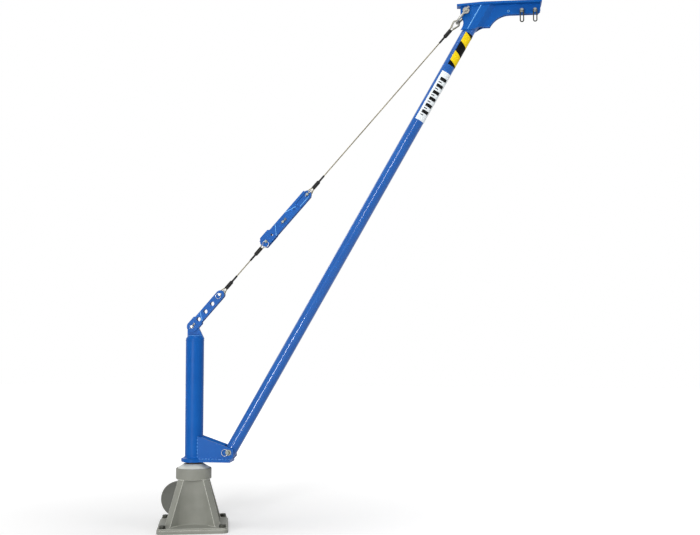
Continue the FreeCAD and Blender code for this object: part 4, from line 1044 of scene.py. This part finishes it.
# %% Adjuster and link edges
CHANNEL_SIDE, DOUBLER_SIDE, LINK_SIDE, TIE_BEAD = 15.8, 19.8, 14.5, 2.0
TOE = np.array([(610.0, -21.5), (614.0, -21.5), (653.0, 22.5), (610.0, 22.5)])
EDGE_LINES = (
    (DOUBLER_SIDE - 0.5, (613.5, -21.0), (652.5, 22.0)), (CHANNEL_SIDE, (728.0, 24.0), (784.0, 3.0)),
    (CHANNEL_SIDE, (799.0, -13.4), (864.0, -13.4)), (LINK_SIDE, (55.0, -20.0), (82.0, 20.0)),
)
toes, edge_beads = [], []
for side in BOTH_SIDES:
    faces = [on_tie(TOE[:, 0], TOE[:, 1], side * y) for y in (CHANNEL_SIDE - 0.2, DOUBLER_SIDE + 0.25)]
    toes.append(shell(np.stack(faces)))
    for out_by, (s_low, n_low), (s_high, n_high) in EDGE_LINES:
        ends = on_tie([s_low, s_high], [n_low, n_high], side * out_by) / MM
        edge_beads.append(bead(straight(*ends), ACROSS, TIE_BEAD, depth=0.0))
make_piece("doubler_toes", toes, BLUE, "lower_tie")
# The tie's edge beads are in the light blue of a painted highlight.
make_piece("tie_highlight_beads", edge_beads, PAINTED_HIGHLIGHT_LINE, "lower_tie")

# %% [markdown]
# ## Places on the jib
# The jib is a straight tube that leans forward. A place on its skin is a distance along the axis and an
# angle round it: nought degrees looks forward and down, minus ninety looks at the near side.

# %% The jib's own directions
JIB_LEAN = math.radians(29.8)
JIB_FOOT = np.array([183.0, 0.0, 371.0])
JIB_LENGTH, JIB_RADIUS = 2500.0, 30.15
UP_JIB = np.array([math.sin(JIB_LEAN), 0.0, math.cos(JIB_LEAN)])
FRONT = np.array([math.cos(JIB_LEAN), 0.0, -math.sin(JIB_LEAN)])
HEAD = JIB_FOOT + JIB_LENGTH * UP_JIB
print("jib's head, in millimetres:", HEAD.round(1).tolist())

# %% [markdown]
# ### Welds, folds and web at the head
# The cheeks are welded along the top plate, following their folds, and at their foot on the tube. Their
# rear fold is pressed with a rounded ridge, and the small sight hole has a raised rim; both are painted a
# light blue, a painted highlight for the light they catch. All of these are beads, rippled where they are
# welds and even where they are pressed. A small web with a hollow edge fills the corner between the tube
# and the cheeks' lower edge: its edge is an arc. The web is painted the lighter weld blue, painted light
# against the shade it sits in.

# %% Head beads
CHEEK_LINE = ((-106.0, 9.1), (-6.4, 36.25), (33.8, 36.25), (62.6, 13.0), (271.5, 13.0))
CHEEK_FOOT, FOOT_SIDE, FOOT_HALF = 119.4, 32.5, 14.0
CHEEK_SINK, CHEEK_BEAD, CHEEK_FOOT_BEAD = 0.5, 2.6, 3.2
FOOT_MIDDLE = -CHEEK_FOOT * math.tan(JIB_LEAN)
head_beads = []
for side in BOTH_SIDES:
    corners = [HEAD + (x, side * y, -CHEEK_SINK) for x, y in CHEEK_LINE]
    head_beads += [bead(straight(a, b), UP, CHEEK_BEAD) for a, b in zip(corners, corners[1:])]
    ends = [HEAD + (FOOT_MIDDLE + x, side * FOOT_SIDE, -CHEEK_FOOT) for x in (-FOOT_HALF, FOOT_HALF)]
    head_beads.append(bead(straight(*ends), UP, CHEEK_FOOT_BEAD))
make_piece("head_weld_beads", head_beads, BLUE, "jib")

# %% Cheek folds and sight hole rims
FOLD_BACK, FOLD_TOP, FOLD_END, FOLD_SIDE, FOLD_BEAD = 5.58, 5.5, 138.0, 35.2, 2.6
SIGHT_X, SIGHT_DROP, SIGHT_RADIUS, SIGHT_BEAD, NOSE_SIDE = 123.0, 31.0, 4.6, 1.5, 12.9
sight = HEAD + (SIGHT_X, 0.0, -SIGHT_DROP) + np.insert(circle(SIGHT_RADIUS, 48), 1, 0.0, 1)
folds = []
for side in BOTH_SIDES:
    folds.append(bead((sight + side * NOSE_SIDE * ACROSS) * MM, ACROSS, SIGHT_BEAD, True, depth=0.0))
    ridge = HEAD - FOLD_BACK * FRONT + side * FOLD_SIDE * ACROSS
    ridge_line = straight(ridge - FOLD_TOP * UP_JIB, ridge - FOLD_END * UP_JIB)
    folds.append(bead(ridge_line, ACROSS, FOLD_BEAD, depth=0.0))
# Fold ridges and sight rims take the light blue of a painted highlight.
make_piece("cheek_fold_highlights", folds, PAINTED_HIGHLIGHT_LINE, "jib")

# %% Web with a hollow edge
WEB_HALF, WEB_ARC, WEB_CENTRE = 6.0, 46.6, (7.1, -142.2)
WEB_BACK = [(8.0, -80.0), (-46.0, -80.0), (-42.0, -114.0)]
web_edge = np.concatenate([corner(WEB_CENTRE, WEB_ARC, 150.1, 88.8, 16), WEB_BACK])
web = np.stack([
    HEAD + np.column_stack([web_edge[:, 0], np.full(len(web_edge), y), web_edge[:, 1]])
    for y in (-WEB_HALF, WEB_HALF)
])
# The web is painted the lighter weld blue: painted light against the shade between the cheeks.
make_piece("head_web", [shell(web * MM)], WELD_HIGHLIGHT_BLUE, "jib")

# %% [markdown]
# ## Tape and plate on the jib
# Two thin sheets lie round the near side of the tube: a striped warning tape and a white plate with
# plain graduation bars. Each sheet is a strip of the tube's skin a little further out, closed by an inner
# face. Every point keeps its place on the sheet, across and down in millimetres, for the print to read. The
# prints are worked out from these two numbers, so they stay sharp and need no picture.

# %% Curved sheets
SHEET_LOW, SHEET_HIGH = 0.06, 0.5


def jib_sheet(high, low, first, last, rows=40, cols=40):
    """A strip of the tube from one height to another and from one angle to another, in degrees:
    out along the outer skin and back along the inner one. Marks are across and down in millimetres."""
    angle = np.radians(np.linspace(first, last, cols))
    angle = np.concatenate([angle, angle[::-1]])
    radius = JIB_RADIUS + np.repeat([SHEET_HIGH, SHEET_LOW], cols)
    spokes = radius[:, None] * (np.cos(angle)[:, None] * FRONT + np.sin(angle)[:, None] * ACROSS)
    height = np.linspace(high, low, rows)
    points = JIB_FOOT + height[:, None, None] * UP_JIB + spokes
    across = np.broadcast_to(JIB_RADIUS * (angle - angle[0]), (rows, 2 * cols))
    down = np.broadcast_to((high - height)[:, None], (rows, 2 * cols))
    marks = np.stack([across, down, np.zeros((rows, 2 * cols))], -1)
    return shell(points * MM), marks.reshape(-1, 3)


print("sheets stand", SHEET_HIGH, "mm off the tube")

# %% Patterns
STRIPE_SLANT, STRIPE_PITCH, STRIPE_GROUND = -0.40, 104.0, 0.485
BAR_START, BAR_END, BAR_PITCH = 30.0, 238.0, 36.0
LONG_BAR, SHORT_BAR = ((0.0, 0.46), (11.0, 49.0)), ((0.66, 0.80), (11.0, 28.0))


def calc(tree, operation, *values):
    """A math node over constants and sockets."""
    node = tree.nodes.new("ShaderNodeMath")
    node.operation = operation
    for socket, value in zip(node.inputs, values):
        if isinstance(value, float):
            socket.default_value = value
        else:
            link(tree, value, socket)
    return node.outputs[0]


def between(tree, value, low, high):
    """1 where a value lies between two others, 0 elsewhere."""
    above = calc(tree, "GREATER_THAN", value, low)
    return calc(tree, "MULTIPLY", above, calc(tree, "LESS_THAN", value, high))


def covered_pitch(tree, place, pitch):
    """The part of one pitch that a place has covered, from 0 to 1."""
    return calc(tree, "FRACT", calc(tree, "MULTIPLY", place, 1.0 / pitch))


def stripes(tree, across, down):
    """Slanting bands: ink on the second part of each pitch, counted down less a share of across."""
    slid = calc(tree, "MULTIPLY_ADD", across, STRIPE_SLANT, down)
    return calc(tree, "GREATER_THAN", covered_pitch(tree, slid, STRIPE_PITCH), STRIPE_GROUND)


def graduations(tree, across, down):
    """Long bars on an even pitch, with a short bar between each two."""
    covered = covered_pitch(tree, calc(tree, "SUBTRACT", down, BAR_START), BAR_PITCH)
    bars = [
        calc(tree, "MULTIPLY", between(tree, covered, *span), between(tree, across, *reach))
        for span, reach in (LONG_BAR, SHORT_BAR)
    ]
    return calc(tree, "MULTIPLY", calc(tree, "MAXIMUM", *bars), between(tree, down, BAR_START, BAR_END))


print("stripes every", STRIPE_PITCH, "mm, bars every", BAR_PITCH, "mm")

# %% Printed films
FILM_FINE, FILM_BROAD, FILM_BUMP, FILM_DEPTH, FILM_SPECULAR = 700.0, 24.0, 0.06, 0.0003, 0.06
WEAR, INK_GAIN, INK_LIFT, GROUND_LOSS = (0.35, 0.75), 1.6, 0.004, 0.93


def make_print(name, pattern, ground, ink, rough):
    """A printed film: two inks chosen by a pattern of the sheet's own places, dulled by the broad grain."""
    film, tree, surface = new_material(name)
    place = tree.nodes.new("ShaderNodeAttribute")
    place.attribute_name = "place"
    parts = tree.nodes.new("ShaderNodeSeparateXYZ")
    link(tree, place.outputs["Vector"], parts.inputs[0])
    grain = add_grain(tree, FILM_FINE, FILM_BROAD)
    worn = ramp(tree, grain.outputs["Broad"], *WEAR)
    pale_ink = (*[INK_GAIN * c + INK_LIFT for c in ink[:3]], 1.0)
    dull_ground = (*[GROUND_LOSS * c for c in ground[:3]], 1.0)
    inked = mix(tree, worn, ink, pale_ink)
    clear = mix(tree, worn, ground, dull_ground)
    mask = pattern(tree, parts.outputs["X"], parts.outputs["Y"])
    link(tree, mix(tree, mask, clear, inked), surface.inputs["Base Color"])
    link(tree, ramp(tree, grain.outputs["Broad"], *MOTTLE, *rough), surface.inputs["Roughness"])
    add_bump(tree, surface, grain.outputs["Fine"], FILM_BUMP, FILM_DEPTH)
    set_inputs(surface, {"Specular IOR Level": FILM_SPECULAR})
    return film


# %% Tape and plate
SHEETS = (
    ("warning_tape", (2347.0, 2168.0, -103.0, 32.0),
     make_print("striped tape", stripes, paint(240, 208, 28), paint(4, 4, 4), (0.36, 0.48))),
    ("graduated_plate", (2128.0, 1862.0, -117.0, 10.0),
     make_print("white plate", graduations, paint(236, 243, 246), paint(16, 17, 17), (0.35, 0.5))),
)
for sheet_name, (high, low, first, last), film in SHEETS:
    sheet, marks = jib_sheet(high, low, first, last)
    make_piece(sheet_name, [sheet], film, "jib", marks=marks)

# %% [markdown]
# ## Light, floor and background
# A plain studio: an even white surround, soft lamps in front, above, beside and behind, a slim strip lamp
# that lies along the jib and draws the bright line on its foot, and a pale floor. The camera sees the
# surround as white, and the floor glows a little more with the distance, so that it runs out into white
# but keeps the shadow near the base. More light would whiten the floor too, but it would bleach the
# paint, so the lamps keep a plain level.

# %% Floor
FLOOR_HALF = 12.0
FLOOR_CORNERS = [(-1.0, -1.0), (1.0, -1.0), (1.0, 1.0), (-1.0, 1.0)]
WHITE, FLOOR_WHITE = (1.0, 1.0, 1.0, 1.0), (0.9, 0.9, 0.9, 1.0)
floor_mesh = bpy.data.meshes.new("floor")
floor_mesh.from_pydata([(FLOOR_HALF * x, FLOOR_HALF * y, 0.0) for x, y in FLOOR_CORNERS], [], [(0, 1, 2, 3)])
floor = bpy.data.objects.new("floor", floor_mesh)
scene.collection.objects.link(floor)
pale, pale_tree, pale_surface = new_material("pale floor")
set_inputs(pale_surface, {
    "Base Color": FLOOR_WHITE, "Roughness": 0.9, "Specular IOR Level": 0.0, "Emission Color": WHITE,
})
floor_mesh.materials.append(pale)
print("floor:", 2.0 * FLOOR_HALF, "m square")


# %% Glow of the floor and white of the surround
def seen_directly(tree):
    """1 for rays that the camera, a mirror or glass sends out, 0 for light that bounces about."""
    rays = tree.nodes.new("ShaderNodeLightPath").outputs
    camera_or_mirror = calc(tree, "MAXIMUM", rays["Is Camera Ray"], rays["Is Glossy Ray"])
    return calc(tree, "MAXIMUM", camera_or_mirror, rays["Is Transmission Ray"])


GLOW_NEAR, GLOW_FAR, GLOW_START, GLOW_END, SURROUND = 0.22, 0.76, 0.4, 3.2, 0.34
floor_place = pale_tree.nodes.new("ShaderNodeTexCoord")
floor_reach = pale_tree.nodes.new("ShaderNodeVectorMath")
floor_reach.operation = "LENGTH"
link(pale_tree, floor_place.outputs["Object"], floor_reach.inputs[0])
floor_glow = ramp(pale_tree, floor_reach.outputs["Value"], GLOW_START, GLOW_END, GLOW_NEAR, GLOW_FAR)
glow_seen = calc(pale_tree, "MULTIPLY", floor_glow, seen_directly(pale_tree))
link(pale_tree, glow_seen, pale_surface.inputs["Emission Strength"])
world = bpy.data.worlds.new("studio")
world.use_nodes = True
scene.world = world
sky_tree = world.node_tree
sky = sky_tree.nodes["Background"]
set_inputs(sky, {"Color": WHITE})
link(sky_tree, ramp(sky_tree, seen_directly(sky_tree), 0.0, 1.0, SURROUND, 1.0), sky.inputs["Strength"])
print("surround lights at", SURROUND, "and shows as 1")

# %% Lamps
LAMPS = (
    ("front softbox", (0.3, -4.6, 2.6), (0.6, 0.0, 1.3), UP, (1.0, 1.0), 68.0),
    ("top softbox", (0.1, -0.8, 4.4), (0.1, 0.0, 0.4), ACROSS, (1.8, 1.8), 36.0),
    ("side softbox", (4.2, -1.2, 2.6), (0.6, 0.0, 1.2), UP, (2.0, 2.0), 25.0),
    ("back softbox", (-2.5, 3.0, 3.2), (0.5, 0.0, 1.2), UP, (2.0, 2.0), 24.0),
    ("strip", (-1.12, -4.75, 0.70), (0.38, 0.0, 0.70), UP_JIB, (0.36, 1.5), 82.0),
)
for lamp_name, place, aim, along, (wide, tall), watts in LAMPS:
    light = bpy.data.lights.new(lamp_name, "AREA")
    light.shape = "RECTANGLE"
    light.size = wide
    light.size_y = tall
    light.energy = watts
    lamp = bpy.data.objects.new(lamp_name, light)
    lamp.location = place
    back = unit(np.asarray(place) - np.asarray(aim))
    upright = unit(along - (along @ back) * back)
    axes = np.stack([np.cross(upright, back), upright, back])
    lamp.rotation_euler = Matrix(axes.tolist()).transposed().to_euler()
    scene.collection.objects.link(lamp)
scene.view_settings.view_transform = "Standard"
print("lamps:", len(LAMPS))
